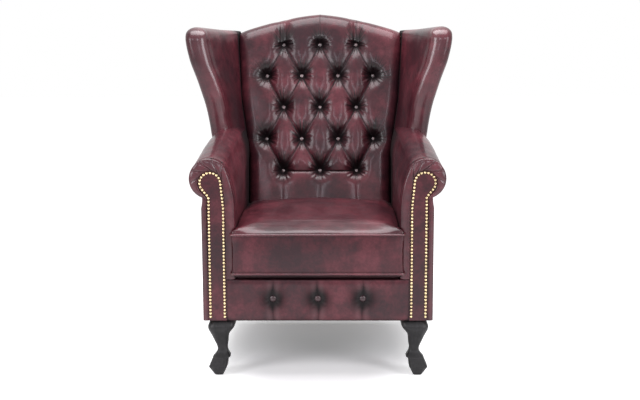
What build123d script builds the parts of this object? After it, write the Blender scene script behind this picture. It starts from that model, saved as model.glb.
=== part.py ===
from build123d import *
from math import cos, pi, radians, sin, sqrt, tan
import os

os.makedirs("parts", exist_ok=True)

# A wing chair with a deep buttoned back, scroll arms and a loose seat cushion.
# It stands on the floor at z = 0 and faces along -Y. Left and right are as seen from the front.
# Depths are measured backwards from the front plane, the plane of the two arm facings.

# Heights and depths of the whole chair
chair_height = 1100
leg_height = 169
border_height = 128
seat_width = 494
deck_height = 133
seat_depth = 464
back_angle = 16
frame_depth = 622
rear_angle = 11

# Joints between pieces
running_clearance = 0.3
cut_overrun = 20

# Timber frame
board_thickness = 28
rail_height = 98
post_width = 38
post_depth = 50
post_cover = 7
post_top_drop = 38
side_rail_thickness = 28
lower_rail_height = 48
crest_rail_height = 85
crest_padding = 24
arm_rail_width = 36
arm_rail_height = 28
arm_rail_drop = 26
block_size = 60
block_height = 60
block_lift = 10
wing_board_thickness = 18
wing_board_inset = 12

# Arms: padding, leather facing, scroll and outside panel
arm_padding = 28
arm_wall = 32
facing_width = 55
facing_thickness = 6
facing_recess = 2
facing_split_height = 197
side_padding = 14
side_panel_thickness = 7
loop_centre_out = 44
loop_centre_height = 419
loop_radius = 37
loop_end_angle = -40
neck_drop = 42
neck_length = 15
scroll_centre_out = 47
scroll_centre_height = 431
scroll_radius = 57
scroll_start_angle = 141
scroll_end_angle = -77
scroll_bulge = 6
arm_neck_height = 351
roll_proud = 8
roll_round = 5
arm_rise = 66
arm_taper = 22
scroll_shrink = 11
arm_neck_rise = 80
side_panel_tuck = 36
# Length along the arm, rise, inward taper and loss of radius at each section of the arm
arm_shares = [(0, 0, 0, 0), (0.32, 0.5, 0.36, 0.36), (0.66, 0.91, 0.82, 0.82), (1, 1, 1, 1)]

# Back: outline, deep buttoning and its buttons
back_half_middle = 278
back_half_top = 293
back_widen_height = 431
back_middle_height = 631
crest_corner_drop = 67
crest_shoulder_drop = 22
crest_shoulder_out = 135
tuft_depth = 34
back_cover_thickness = 12
pleat_gap = 3
button_rows = 5
top_row_drop = 109
first_button_row = 386
button_pitch = 128
outer_button = 187
button_diameter = 19
button_dome = 6
button_gap = 1
twine_diameter = 2.4
twine_length = 40
webbing_width = 50
webbing_thickness = 2
webbing_rows = 4
webbing_columns = 2
outside_panel_thickness = 5
# Size and rise of a buttoned pillow from its foot to its top
pillow_shares = [(0.985, 0), (0.93, 0.42), (0.76, 0.8), (0.44, 1)]

# Wings
wing_start_height = 499
wing_top_drop = 54
wing_front = 350
wing_setback = 75
wing_flare = 90
wing_roll_radius = 26
wing_seam_set = 12
wing_panel_thickness = 3
wing_panel_share = 0.9
wing_panel_bottom_share = 0.16
wing_panel_top_share = 0.93
wing_nail_share = 0.86
# Height, flare, setback of the front edge and roll radius at each section of the wing
wing_shares = [
    (0, 0.12, 0.55, 0.92),
    (0.13, 0.2, 0.5, 0.92),
    (0.3, 0.32, 0.36, 0.96),
    (0.51, 0.56, 0.16, 1),
    (0.72, 0.86, 0, 1),
    (0.88, 0.99, 0, 0.86),
    (0.96, 0.96, 0.3, 0.6),
    (1, 0.86, 0.95, 0.26),
]
wing_board_top_share = 0.94

# Legs, their bolts and glides
glide_height = 3
glide_diameter = 16
glide_pin_diameter = 4
glide_pin_length = 12
bolt_diameter = 8
bolt_length = 80
bolt_in_leg = 36
front_leg_inner = 246
front_leg_width = 84
front_leg_setback = 8
front_leg_depth = 64
front_bolt_out = 300
front_bolt_back = 19
leg_corner_share = 0.28
# Height, inner and outer edge in leg widths, front and rear edge in leg depths
front_leg_upper_shares = [
    (1, 0, 1, 0, 1),
    (0.915, 0.07, 1.036, -0.17, 0.97),
    (0.83, 0.15, 1.048, -0.22, 0.91),
    (0.71, 0.31, 0.935, -0.09, 0.75),
    (0.59, 0.34, 0.83, 0.03, 0.6),
    (0.48, 0.37, 0.74, 0.09, 0.56),
    (0.38, 0.33, 0.76, 0.03, 0.56),
    (0.28, 0.33, 0.9, -0.16, 0.59),
]
front_leg_lower_shares = [
    (0.28, 0.33, 0.9, -0.16, 0.59),
    (0.145, 0.36, 1.02, -0.48, 0.56),
    (0, 0.5, 0.81, -0.32, 0.36),
]
rear_leg_inner = 294
rear_leg_width = 46
rear_leg_setback = 574
rear_leg_depth = 54
rear_leg_sweep = 84
rear_bolt_back = 603
# Height, sweep, inner and outer edge in leg widths, length in leg depths
rear_leg_shares = [
    (1, 0, 0, 1, 1),
    (0.66, 0.2, 0.04, 0.98, 0.88),
    (0.33, 0.53, 0.1, 0.94, 0.74),
    (0, 1, 0.14, 0.9, 0.64),
]

# Seat springs and deck
spring_count = 5
spring_wire = 3.6
spring_turns = 20
spring_half_width = 22
spring_end = 20
clip_width = 20
clip_length = 16
clip_height = 9
dust_cover_thickness = 1.5
dust_cover_margin = 14

# Front border and its buttons
border_thickness = 10
border_pad = 6
border_button_pitch = 135
border_button_diameter = 21
border_button_height = 68

# Brass nails
nail_head_diameter = 9.6
nail_head_height = 3.6
nail_shank_diameter = 1.6
nail_shank_length = 13
nail_pitch = 10.3
nail_inset = 6
nail_lift = 12
wing_nail_pitch = 10.6

# Loose seat cushion
cushion_boxing = 118.5
cushion_edge = 14.5
cushion_crown = 42
cushion_side_crown = 22
cushion_side_gap = 1.5
cushion_back_gap = 5
cushion_overhang = 23.5
cushion_bow = 3
cushion_draw = 3
cushion_wall = 4
cushion_chamfer = 16
ear_width = 17
ear_length = 9
piping_diameter = 7
piping_corner = 4.2
zip_length = 380
zip_width = 9
zip_thickness = 1.4
crown_shares = [(-1, 0), (-0.5, 0.86), (0, 1), (0.5, 0.86), (1, 0)]

# Places that several pieces share
half_seat = seat_width / 2
facing_inner = half_seat + arm_padding
facing_outer = facing_inner + facing_width
outer_half = facing_outer + side_padding
deck_top = leg_height + deck_height
frame_bottom = leg_height + dust_cover_thickness
rail_top = frame_bottom + rail_height
crest_corner = chair_height - crest_corner_drop
crest_shoulder = chair_height - crest_shoulder_drop
button_row_pitch = (chair_height - top_row_drop - leg_height - first_button_row) / (button_rows - 1)
wing_height = chair_height - wing_top_drop - leg_height - wing_start_height
lean = radians(back_angle)
rear_lean = radians(rear_angle)
cushion_front = -cushion_overhang - piping_diameter / 2
rear_reach = frame_depth + tan(rear_lean) * (chair_height - leg_height) + outside_panel_thickness / cos(rear_lean)
front_plane_y = -(cushion_front + rear_reach) / 2


def behind(depth):
    return front_plane_y + depth


def rear_depth(z):
    return frame_depth + tan(rear_lean) * (z - leg_height)


def back_depth(z):
    return seat_depth + tan(lean) * (z - deck_top)


def up_back(z, rise):
    return (z - deck_top - rise * sin(lean)) / cos(lean)


def back_half(z):
    low = leg_height + back_widen_height
    middle = leg_height + back_middle_height
    if z <= low:
        return half_seat
    if z <= middle:
        return half_seat + (back_half_middle - half_seat) * (z - low) / (middle - low)
    return back_half_middle + (back_half_top - back_half_middle) * (z - middle) / (crest_corner - middle)


# Planes of the back cushion's face and of the rear of the frame
back_plane = Plane((0, behind(seat_depth), deck_top), (1, 0, 0), (0, -cos(lean), sin(lean)))
rear_plane = Plane((0, behind(frame_depth), leg_height), (1, 0, 0), (0, -cos(rear_lean), sin(rear_lean)))


def save(piece, name):
    piece.part.label = name
    export_step(piece.part, "parts/" + name + ".step")


def save_pair(piece, name):
    save(piece, name + "_right")
    with BuildPart() as twin:
        mirror(piece.part, about=Plane.YZ)
    save(twin, name + "_left")
    return twin


def depth_plane(depth):
    return Plane((0, behind(depth), 0), (1, 0, 0), (0, -1, 0))


# Front legs: cabriole, a smooth loft down to the ankle and a faceted toe below it
def front_leg_section(height_share, inner_share, outer_share, front_share, rear_share):
    inner = front_leg_inner + front_leg_width * inner_share
    outer = front_leg_inner + front_leg_width * outer_share
    front = behind(front_leg_setback + front_leg_depth * front_share)
    rear = behind(front_leg_setback + front_leg_depth * rear_share)
    z = glide_height + (leg_height - glide_height) * height_share
    corner = leg_corner_share * min(outer - inner, rear - front)
    with BuildSketch(Plane.XY.offset(z)) as section:
        with Locations(((inner + outer) / 2, (front + rear) / 2)):
            RectangleRounded(outer - inner, rear - front, corner)
    return section.sketch


with BuildPart() as front_leg:
    loft([front_leg_section(*row) for row in front_leg_upper_shares])
    loft([front_leg_section(*row) for row in front_leg_lower_shares], ruled=True)
front_leg_twin = save_pair(front_leg, "front_leg")

# Rear legs: plain sabre legs that sweep back
with BuildPart() as rear_leg:
    for height_share, sweep_share, inner_share, outer_share, length_share in rear_leg_shares:
        inner = rear_leg_inner + rear_leg_width * inner_share
        outer = rear_leg_inner + rear_leg_width * outer_share
        length = rear_leg_depth * length_share
        front = behind(rear_leg_setback + rear_leg_sweep * sweep_share)
        z = glide_height + (leg_height - glide_height) * height_share
        with BuildSketch(Plane.XY.offset(z)):
            with Locations(((inner + outer) / 2, front + length / 2)):
                RectangleRounded(outer - inner, length, leg_corner_share * length / 2)
    loft()
rear_leg_twin = save_pair(rear_leg, "rear_leg")


def foot_centre(leg_part):
    return leg_part.faces().sort_by(Axis.Z)[0].center()


# Glides under the four feet, each with its pin up into the foot
feet = [foot_centre(leg.part) for leg in (front_leg, front_leg_twin, rear_leg, rear_leg_twin)]
with BuildPart() as leg_glides:
    with Locations(*[(foot.X, foot.Y, 0) for foot in feet]):
        Cylinder(glide_diameter / 2, glide_height, align=(Align.CENTER, Align.CENTER, Align.MIN))
        Cylinder(
            glide_pin_diameter / 2,
            glide_height + glide_pin_length,
            align=(Align.CENTER, Align.CENTER, Align.MIN),
        )
save(leg_glides, "leg_glides")

# Bolts that hold the legs to the frame
bolt_places = [
    (side * out, behind(depth), leg_height - bolt_in_leg)
    for out, depth in ((front_bolt_out, front_bolt_back), (rear_leg_inner + rear_leg_width / 2, rear_bolt_back))
    for side in (1, -1)
]
with BuildPart() as leg_bolts:
    with Locations(*bolt_places):
        Cylinder(bolt_diameter / 2, bolt_length, align=(Align.CENTER, Align.CENTER, Align.MIN))
save(leg_bolts, "leg_bolts")


# Outline of a facing, drawn in by an inset: up the inner side, round the scroll and down the outer side
def facing_line(inset, bottom):
    centre_x = facing_inner + loop_centre_out
    centre_z = leg_height + loop_centre_height
    radius = loop_radius - inset
    end = radians(loop_end_angle)
    loop_end = (centre_x + radius * cos(end), centre_z + radius * sin(end))
    neck = centre_z - neck_drop
    rise = [
        (facing_inner + inset, bottom),
        (facing_inner + inset, centre_z - 2 * loop_radius),
        (centre_x - radius, centre_z),
    ]
    fall = [
        loop_end,
        (facing_outer - inset + (loop_end[0] - facing_outer) / neck_drop, neck),
        (facing_outer - inset, neck - neck_length),
        (facing_outer - inset, bottom),
    ]
    Polyline(*rise)
    ThreePointArc(rise[-1], (centre_x, centre_z + radius), (centre_x + radius, centre_z))
    half_end = end / 2
    halfway = (centre_x + radius * cos(half_end), centre_z + radius * sin(half_end))
    ThreePointArc((centre_x + radius, centre_z), halfway, loop_end)
    Polyline(*fall)
    return rise[0], fall[-1]


def facing_face(depth, bottom):
    with BuildSketch(depth_plane(depth)) as face:
        with BuildLine():
            start, end = facing_line(0, bottom)
            Line(end, start)
        make_face()
    return face.sketch


# Arm posts: scroll-shaped boards behind the facings
with BuildPart() as arm_post:
    extrude(facing_face(facing_thickness - facing_recess, leg_height), amount=-board_thickness)
save_pair(arm_post, "arm_post")
post_back = facing_thickness - facing_recess + board_thickness

# Facings: an upper and a lower leather-covered panel that meet in a seam
with BuildPart() as facing_whole:
    extrude(facing_face(-facing_recess, leg_height), amount=-facing_thickness)
seam_plane = Plane.XY.offset(leg_height + facing_split_height)
with BuildPart() as facing_upper:
    add(facing_whole.part)
    split(bisect_by=seam_plane, keep=Keep.TOP)
save_pair(facing_upper, "arm_facing_upper")
with BuildPart() as facing_lower:
    add(facing_whole.part)
    split(bisect_by=seam_plane, keep=Keep.BOTTOM)
save_pair(facing_lower, "arm_facing_lower")


# Key points of the padded scroll at a share of the way along the arm
def scroll_points(rise_share, taper_share, shrink_share):
    radius = scroll_radius - scroll_shrink * shrink_share
    centre_x = facing_inner + scroll_centre_out - arm_taper * taper_share
    centre_z = leg_height + scroll_centre_height + arm_rise * rise_share + scroll_radius - radius

    def on_circle(angle):
        return (centre_x + radius * cos(radians(angle)), centre_z + radius * sin(radians(angle)))

    neck = (half_seat, leg_height + arm_neck_height + arm_neck_rise * rise_share)
    start = on_circle(scroll_start_angle)
    chord = sqrt((start[0] - neck[0]) ** 2 + (start[1] - neck[1]) ** 2)
    middle = (
        (neck[0] + start[0]) / 2 - scroll_bulge * (start[1] - neck[1]) / chord,
        (neck[1] + start[1]) / 2 + scroll_bulge * (start[0] - neck[0]) / chord,
    )
    return {
        "neck": neck,
        "middle": middle,
        "start": start,
        "shoulder": on_circle((scroll_start_angle + 90) / 2),
        "top": on_circle(90),
        "brow": on_circle(45),
        "outer": on_circle(0),
        "cheek": on_circle(scroll_end_angle / 2),
        "end": on_circle(scroll_end_angle),
    }


def scroll_line(points):
    ThreePointArc(points["neck"], points["middle"], points["start"])
    ThreePointArc(points["start"], points["shoulder"], points["top"])
    ThreePointArc(points["top"], points["brow"], points["outer"])
    ThreePointArc(points["outer"], points["cheek"], points["end"])


# Front rolls: the padded band round each facing
border_top = leg_height + border_height
front_scroll = scroll_points(0, 0, 0)


def roll_face(depth):
    with BuildSketch(depth_plane(depth)) as face:
        with BuildLine():
            scroll_line(front_scroll)
            Polyline(
                front_scroll["end"],
                (outer_half, front_scroll["end"][1] - side_panel_thickness),
                (outer_half, leg_height),
                (facing_inner, leg_height),
                (facing_inner, border_top),
                (half_seat, border_top),
                front_scroll["neck"],
            )
        make_face()
    return face.sketch


with BuildPart() as front_roll:
    extrude(roll_face(post_back), amount=post_back + roll_proud)
    front_edges = front_roll.faces().sort_by(Axis.Y)[0].edges()
    fillet(front_edges.filter_by(lambda edge: edge.center().Z > border_top), roll_round)
    extrude(
        facing_face(post_back + cut_overrun, leg_height - cut_overrun),
        amount=post_back + roll_proud + 2 * cut_overrun,
        mode=Mode.SUBTRACT,
    )
save_pair(front_roll, "front_roll")

# Back posts, raked with the rear of the chair
post_outer = outer_half - wing_panel_thickness - post_cover
post_inner = post_outer - post_width
post_front_plane = rear_plane.offset(post_depth)
with BuildPart() as back_post:
    with BuildSketch(Plane((0, behind(frame_depth), leg_height), (1, 0, 0), (0, 0, 1))):
        with Locations((post_inner, 0)):
            Rectangle(post_width, post_depth / cos(rear_lean), align=(Align.MIN, Align.MAX))
    extrude(amount=crest_corner - post_top_drop - leg_height, dir=(0, tan(rear_lean), 1))
save_pair(back_post, "back_post")

# Seat rails
side_rail_outer = outer_half - side_panel_thickness
with BuildPart() as front_seat_rail:
    with BuildSketch(Plane.XY.offset(frame_bottom)):
        with Locations((0, behind(facing_thickness - facing_recess))):
            Rectangle(2 * facing_inner, board_thickness, align=(Align.CENTER, Align.MIN))
    extrude(amount=rail_height)
save(front_seat_rail, "front_seat_rail")

rear_rail_front = frame_depth - post_depth
with BuildPart() as rear_seat_rail:
    with BuildSketch(Plane.XY.offset(frame_bottom)):
        with Locations((0, behind(rear_rail_front))):
            Rectangle(2 * post_inner, board_thickness, align=(Align.CENTER, Align.MIN))
    extrude(amount=rail_height)
save(rear_seat_rail, "rear_seat_rail")

with BuildPart() as side_seat_rail:
    with BuildSketch(Plane.XY.offset(frame_bottom)):
        with Locations((side_rail_outer, behind(post_back))):
            Rectangle(side_rail_thickness, frame_depth - post_back, align=(Align.MAX, Align.MIN))
    extrude(amount=rail_height)
    split(bisect_by=post_front_plane, keep=Keep.TOP)
save_pair(side_seat_rail, "side_seat_rail")

# Glued blocks in the four corners of the seat frame
side_rail_inner = side_rail_outer - side_rail_thickness
with BuildPart() as corner_blocks:
    with BuildSketch(Plane.XY.offset(frame_bottom + block_lift)):
        for side in (1, -1):
            for corner_depth, direction in ((post_back, 1), (rear_rail_front, -1)):
                corner = (side * side_rail_inner, behind(corner_depth))
                with BuildLine():
                    Polyline(
                        corner,
                        (corner[0] - side * block_size, corner[1]),
                        (corner[0], corner[1] + direction * block_size),
                        close=True,
                    )
                make_face()
    extrude(amount=block_height)
save(corner_blocks, "corner_blocks")

# Lower back rail and arched crest rail, between the posts
with BuildPart() as lower_back_rail:
    with BuildSketch(post_front_plane):
        with Locations((0, (deck_top - leg_height) / cos(rear_lean))):
            Rectangle(2 * post_inner, lower_rail_height, align=(Align.CENTER, Align.MIN))
    extrude(amount=-board_thickness)
save(lower_back_rail, "lower_back_rail")


# The crest's curve in a leaning plane whose local Y is measured from a given height
def crest_line(drop, from_height, angle, half_width):
    def up(z):
        return (z - from_height) / cos(angle)

    corner = up(crest_corner - drop)
    shoulder = up(crest_shoulder - drop)
    top = up(chair_height - drop)
    ThreePointArc((-half_width, corner), (-crest_shoulder_out, shoulder), (0, top))
    ThreePointArc((0, top), (crest_shoulder_out, shoulder), (half_width, corner))
    return corner


with BuildPart() as crest_rail:
    with BuildSketch(rear_plane):
        with BuildLine():
            corner = crest_line(crest_padding, leg_height, rear_lean, post_inner)
            Polyline(
                (post_inner, corner),
                (post_inner, corner - crest_rail_height + crest_corner_drop),
                (-post_inner, corner - crest_rail_height + crest_corner_drop),
                (-post_inner, corner),
            )
        make_face()
    extrude(amount=post_depth)
save(crest_rail, "crest_rail")


# Webbing straps stretched between the posts and between the two back rails
webbing_bottom = (deck_top - leg_height) / cos(rear_lean) + lower_rail_height
webbing_top = (crest_corner - crest_padding - leg_height) / cos(rear_lean) - crest_rail_height + crest_corner_drop
webbing_span = webbing_top - webbing_bottom
with BuildPart() as back_webbing:
    with BuildSketch(post_front_plane):
        with Locations((0, (webbing_bottom + webbing_top) / 2)):
            with GridLocations(0, webbing_span / webbing_rows, 1, webbing_rows):
                Rectangle(2 * post_inner, webbing_width)
    extrude(amount=-webbing_thickness)
    with BuildSketch(post_front_plane.offset(-webbing_thickness)):
        with Locations((0, (webbing_bottom + webbing_top) / 2)):
            with GridLocations(seat_width / webbing_columns, 0, webbing_columns, 1):
                Rectangle(webbing_width, webbing_span)
    extrude(amount=-webbing_thickness)
save(back_webbing, "back_webbing")


# Arm rails: from the arm post back to the back post
def rail_section(depth, centre):
    with BuildSketch(depth_plane(depth)) as section:
        with Locations(centre):
            Rectangle(arm_rail_width, arm_rail_height)
    return section.sketch


rail_start = (facing_inner + loop_centre_out, leg_height + loop_centre_height)
rail_end = (post_inner + post_width / 2, rail_start[1] + arm_rise - arm_rail_drop)
with BuildPart() as arm_rail:
    rail_sections = [rail_section(post_back, rail_start), rail_section(frame_depth + post_depth, rail_end)]
    loft(rail_sections, ruled=True)
    split(bisect_by=post_front_plane, keep=Keep.TOP)
save_pair(arm_rail, "arm_rail")

# Wings: the edge of the wing at one section
wing_bottom = leg_height + wing_start_height
wing_rear_half = outer_half - wing_panel_thickness


def wing_edges(height_share, flare_share, setback_share, radius_share):
    z = wing_bottom + wing_height * height_share
    radius = wing_roll_radius * radius_share
    inner = back_half(min(z, crest_corner))
    swell = min((wing_rear_half - inner) / 2, 2 * radius)
    middle = (wing_rear_half + inner) / 2
    return {
        "z": z,
        "radius": radius,
        "front": behind(wing_front + wing_setback * setback_share),
        "rear": behind(rear_depth(z)),
        "outer": outer_half + wing_flare * flare_share,
        "rear_outer": middle + swell,
        "rear_inner": middle - swell,
        "seam": (inner, behind(back_depth(z) + wing_seam_set)),
    }


def wing_section(edges):
    nose = (edges["outer"] - edges["radius"], edges["front"])
    centre = (nose[0], nose[1] + edges["radius"])
    diagonal = edges["radius"] * sin(pi / 4)
    outer = (centre[0] + edges["radius"], centre[1])
    inner = (centre[0] - edges["radius"], centre[1])
    with BuildSketch(Plane.XY.offset(edges["z"])) as section:
        with BuildLine():
            Line((edges["rear_outer"], edges["rear"]), outer)
            ThreePointArc(outer, (centre[0] + diagonal, centre[1] - diagonal), nose)
            ThreePointArc(nose, (centre[0] - diagonal, centre[1] - diagonal), inner)
            Polyline(
                inner,
                edges["seam"],
                (edges["rear_inner"], edges["rear"]),
                (edges["rear_outer"], edges["rear"]),
            )
        make_face()
    return section.sketch


def board_section(edges):
    middle = (edges["rear_outer"] + edges["rear_inner"]) / 2
    front = (edges["outer"] - edges["radius"], edges["front"] + wing_board_inset)
    half = wing_board_thickness / 2
    with BuildSketch(Plane.XY.offset(edges["z"])) as section:
        with BuildLine():
            Polyline(
                (front[0] - half, front[1]),
                (front[0] + half, front[1]),
                (middle + half, edges["rear"]),
                (middle - half, edges["rear"]),
                close=True,
            )
        make_face()
    return section.sketch


# Wing boards: they stand on the arm rails and meet the back posts
board_rows = [row for row in wing_shares if row[0] < wing_board_top_share]
with BuildPart() as wing_board:
    loft([board_section(wing_edges(*row)) for row in board_rows], ruled=True)
    split(bisect_by=post_front_plane, keep=Keep.TOP)
    add(arm_rail.part, mode=Mode.SUBTRACT)
save_pair(wing_board, "wing_board")

# Arm covers: padded leather over the inside of the arm and the scroll
arm_length = frame_depth + post_depth - post_back


def arm_section(depth_share, rise_share, taper_share, shrink_share):
    points = scroll_points(rise_share, taper_share, shrink_share)
    pad_bottom = rail_top + clip_height
    wall = (half_seat + arm_wall, points["end"][1])
    with BuildSketch(depth_plane(post_back + arm_length * depth_share)) as section:
        with BuildLine():
            scroll_line(points)
            Polyline(
                points["end"],
                wall,
                (wall[0], pad_bottom),
                (half_seat, pad_bottom),
                points["neck"],
            )
        make_face()
    return section.sketch


with BuildPart() as arm_cover:
    loft([arm_section(*row) for row in arm_shares])
    split(bisect_by=post_front_plane, keep=Keep.TOP)
    add(arm_rail.part, mode=Mode.SUBTRACT)
    add(wing_board.part, mode=Mode.SUBTRACT)
arm_cover_twin = save_pair(arm_cover, "arm_cover")

# Wing covers: padded leather round the wing boards
with BuildPart() as wing_outer:
    loft([wing_section(wing_edges(*row)) for row in wing_shares])
with BuildPart() as wing_cover:
    add(wing_outer.part)
    split(bisect_by=rear_plane, keep=Keep.TOP)
    add(wing_board.part, mode=Mode.SUBTRACT)
    add(back_post.part, mode=Mode.SUBTRACT)
    add(arm_cover.part, mode=Mode.SUBTRACT)
    add(crest_rail.part, mode=Mode.SUBTRACT)
    add(back_webbing.part, mode=Mode.SUBTRACT)
    add(arm_rail.part, mode=Mode.SUBTRACT)
wing_cover_twin = save_pair(wing_cover, "wing_cover")

# Outside wing panels: thin leather panels nailed along the wing's front and top
def wing_panel_section(edges):
    front = (edges["outer"], edges["front"] + edges["radius"])
    rear = (edges["rear_outer"], edges["rear"])
    start = (
        rear[0] + (front[0] - rear[0]) * wing_panel_share,
        rear[1] + (front[1] - rear[1]) * wing_panel_share,
    )
    with BuildSketch(Plane.XY.offset(edges["z"])) as section:
        with BuildLine():
            Polyline(
                (start[0] - wing_panel_thickness, start[1]),
                (start[0] + wing_panel_thickness, start[1]),
                (rear[0] + wing_panel_thickness, rear[1]),
                (rear[0] - wing_panel_thickness, rear[1]),
                close=True,
            )
        make_face()
    return section.sketch


with BuildPart() as wing_panel:
    loft([wing_panel_section(wing_edges(*row)) for row in wing_shares])
    split(bisect_by=Plane.XY.offset(wing_bottom + wing_height * wing_panel_top_share), keep=Keep.BOTTOM)
    split(bisect_by=rear_plane, keep=Keep.TOP)
    add(wing_outer.part, mode=Mode.SUBTRACT)
    add(arm_cover.part, mode=Mode.SUBTRACT)
    add(back_post.part, mode=Mode.SUBTRACT)

# Outside arm panels: leather on board, tucked up under the scroll
panel_front_top = front_scroll["end"][1] + side_panel_tuck
panel_middle_top = panel_front_top + arm_rise
panel_rear_top = wing_bottom + side_panel_thickness
with BuildPart() as side_panel:
    with BuildSketch(Plane.YZ.offset(outer_half)):
        with BuildLine():
            Polyline(
                (behind(post_back), leg_height),
                (behind(post_back), panel_front_top),
                (behind(wing_front), panel_middle_top),
                (behind(frame_depth + cut_overrun), panel_rear_top),
                (behind(rear_depth(panel_rear_top)), panel_rear_top),
                (behind(frame_depth), leg_height),
                close=True,
            )
        make_face()
    extrude(amount=-side_panel_thickness)
    add(arm_cover.part, mode=Mode.SUBTRACT)
    add(wing_cover.part, mode=Mode.SUBTRACT)
save_pair(side_panel, "outside_arm_panel")
with BuildPart() as outside_wing_panel:
    add(wing_panel.part)
    split(bisect_by=Plane.XY.offset(panel_rear_top), keep=Keep.TOP)
save_pair(outside_wing_panel, "outside_wing_panel")

# Outside back: one panel over the rear of the frame
with BuildPart() as outside_back_panel:
    with BuildSketch(rear_plane):
        with BuildLine():
            corner = crest_line(0, leg_height, rear_lean, back_half_top)
            Polyline(
                (back_half_top, corner),
                (wing_rear_half, corner - wing_panel_thickness),
                (outer_half, 0),
                (-outer_half, 0),
                (-wing_rear_half, corner - wing_panel_thickness),
                (-back_half_top, corner),
            )
        make_face()
    extrude(amount=-outside_panel_thickness)
    split(bisect_by=Plane.XY.offset(leg_height), keep=Keep.TOP)
save(outside_back_panel, "outside_back_panel")

# Buttons of the back: rows of three and of four in turn
button_rise = -tuft_depth


def button_place(row, column):
    z = leg_height + first_button_row + button_row_pitch * row
    if row % 2 == 0:
        x = button_pitch * (column - 1)
    else:
        x = (-outer_button, -button_pitch / 2, button_pitch / 2, outer_button)[column]
    return (x, up_back(z, button_rise))


button_places = [[button_place(row, column) for column in range(3 + row % 2)] for row in range(button_rows)]
back_foot = up_back(deck_top + running_clearance, button_rise)
deck_plane = Plane.XY.offset(deck_top + running_clearance)
crest_up = up_back(crest_corner, button_rise)
shoulder_up = up_back(crest_shoulder, button_rise)
top_up = up_back(chair_height, button_rise)


def edge_place(side, up):
    z = deck_top + up * cos(lean)
    return (side * (back_half(z) - pleat_gap), up)


# A buttoned pillow: a loft of its outline, smaller and smaller as it rises
def make_pillow(corners, base_plane, rise):
    centre_x = sum(corner[0] for corner in corners) / len(corners)
    centre_y = sum(corner[1] for corner in corners) / len(corners)
    sections = []
    for size_share, rise_share in pillow_shares:
        with BuildSketch(base_plane.offset(rise * rise_share)) as section:
            with BuildLine():
                Polyline(
                    *[
                        (centre_x + (x - centre_x) * size_share, centre_y + (y - centre_y) * size_share)
                        for x, y in corners
                    ],
                    close=True,
                )
            make_face()
        sections.append(section.sketch)
    with BuildPart() as pillow:
        loft(sections)
    return pillow.part


# Outlines of the pillows, for one side where they come in pairs
low, four_low, middle_row, four_high, high = button_places
cells = []
for column in range(3):
    cells.append([high[column], four_high[column], middle_row[column], four_high[column + 1]])
    cells.append([middle_row[column], four_low[column], low[column], four_low[column + 1]])
for column in range(2):
    cells.append([four_high[column + 1], middle_row[column], four_low[column + 1], middle_row[column + 1]])
    left, right = high[column], high[column + 1]
    left_top = (left[0], (top_up if column == 1 else shoulder_up) - pleat_gap)
    right_top = (right[0], (top_up if column == 0 else shoulder_up) - pleat_gap)
    cells.append([left_top, left, four_high[column + 1], right, right_top])
    left, right = low[column], low[column + 1]
    cells.append([four_low[column + 1], left, right])
    cells.append([left, (left[0], back_foot), (right[0], back_foot), right])
for side, first in ((-1, 0), (1, -1)):
    corner = (side * (back_half_top - pleat_gap), crest_up - pleat_gap)
    shoulder = (high[first][0], shoulder_up - pleat_gap)
    cells.append([corner, shoulder, high[first], four_high[first], edge_place(side, four_high[0][1])])
    cells.append(
        [
            edge_place(side, four_high[0][1]),
            four_high[first],
            middle_row[first],
            four_low[first],
            edge_place(side, four_low[0][1]),
        ]
    )
    cells.append(
        [
            edge_place(side, four_low[0][1]),
            four_low[first],
            low[first],
            (low[first][0], back_foot),
            edge_place(side, back_foot),
            edge_place(side, low[first][1]),
        ]
    )

# Inside back: a padded leather cover with deep buttoned pillows, rolled over the crest
valley_plane = back_plane.offset(-tuft_depth)
back_sides = [
    (back_half_middle, up_back(leg_height + back_middle_height, -tuft_depth)),
    (half_seat, up_back(leg_height + back_widen_height, -tuft_depth)),
    (half_seat, back_foot),
]
back_outline = back_sides + [(-x, up) for x, up in reversed(back_sides)]
with BuildPart() as back_slab:
    with BuildSketch(valley_plane):
        with BuildLine():
            ThreePointArc((-back_half_top, crest_up), (-crest_shoulder_out, shoulder_up), (0, top_up))
            ThreePointArc((0, top_up), (crest_shoulder_out, shoulder_up), (back_half_top, crest_up))
            Polyline((back_half_top, crest_up), *back_outline, (-back_half_top, crest_up))
        make_face()
    extrude(amount=-back_cover_thickness)
    split(bisect_by=deck_plane, keep=Keep.TOP)

with BuildPart() as crest_roll:
    with BuildSketch(valley_plane):
        with BuildLine():
            ThreePointArc((-back_half_top, crest_up), (-crest_shoulder_out, shoulder_up), (0, top_up))
            ThreePointArc((0, top_up), (crest_shoulder_out, shoulder_up), (back_half_top, crest_up))
            Polyline(
                (back_half_top, crest_up),
                (back_half_top, crest_up - crest_rail_height),
                (-back_half_top, crest_up - crest_rail_height),
                (-back_half_top, crest_up),
            )
        make_face()
    extrude(amount=-seat_depth)
    split(bisect_by=rear_plane, keep=Keep.TOP)
    with BuildSketch(rear_plane):
        with BuildLine():
            corner = crest_line(crest_padding, leg_height, rear_lean, post_inner)
            Polyline((post_inner, corner), (post_inner, 0), (-post_inner, 0), (-post_inner, corner))
        make_face()
    extrude(amount=seat_depth, mode=Mode.SUBTRACT)

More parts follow.
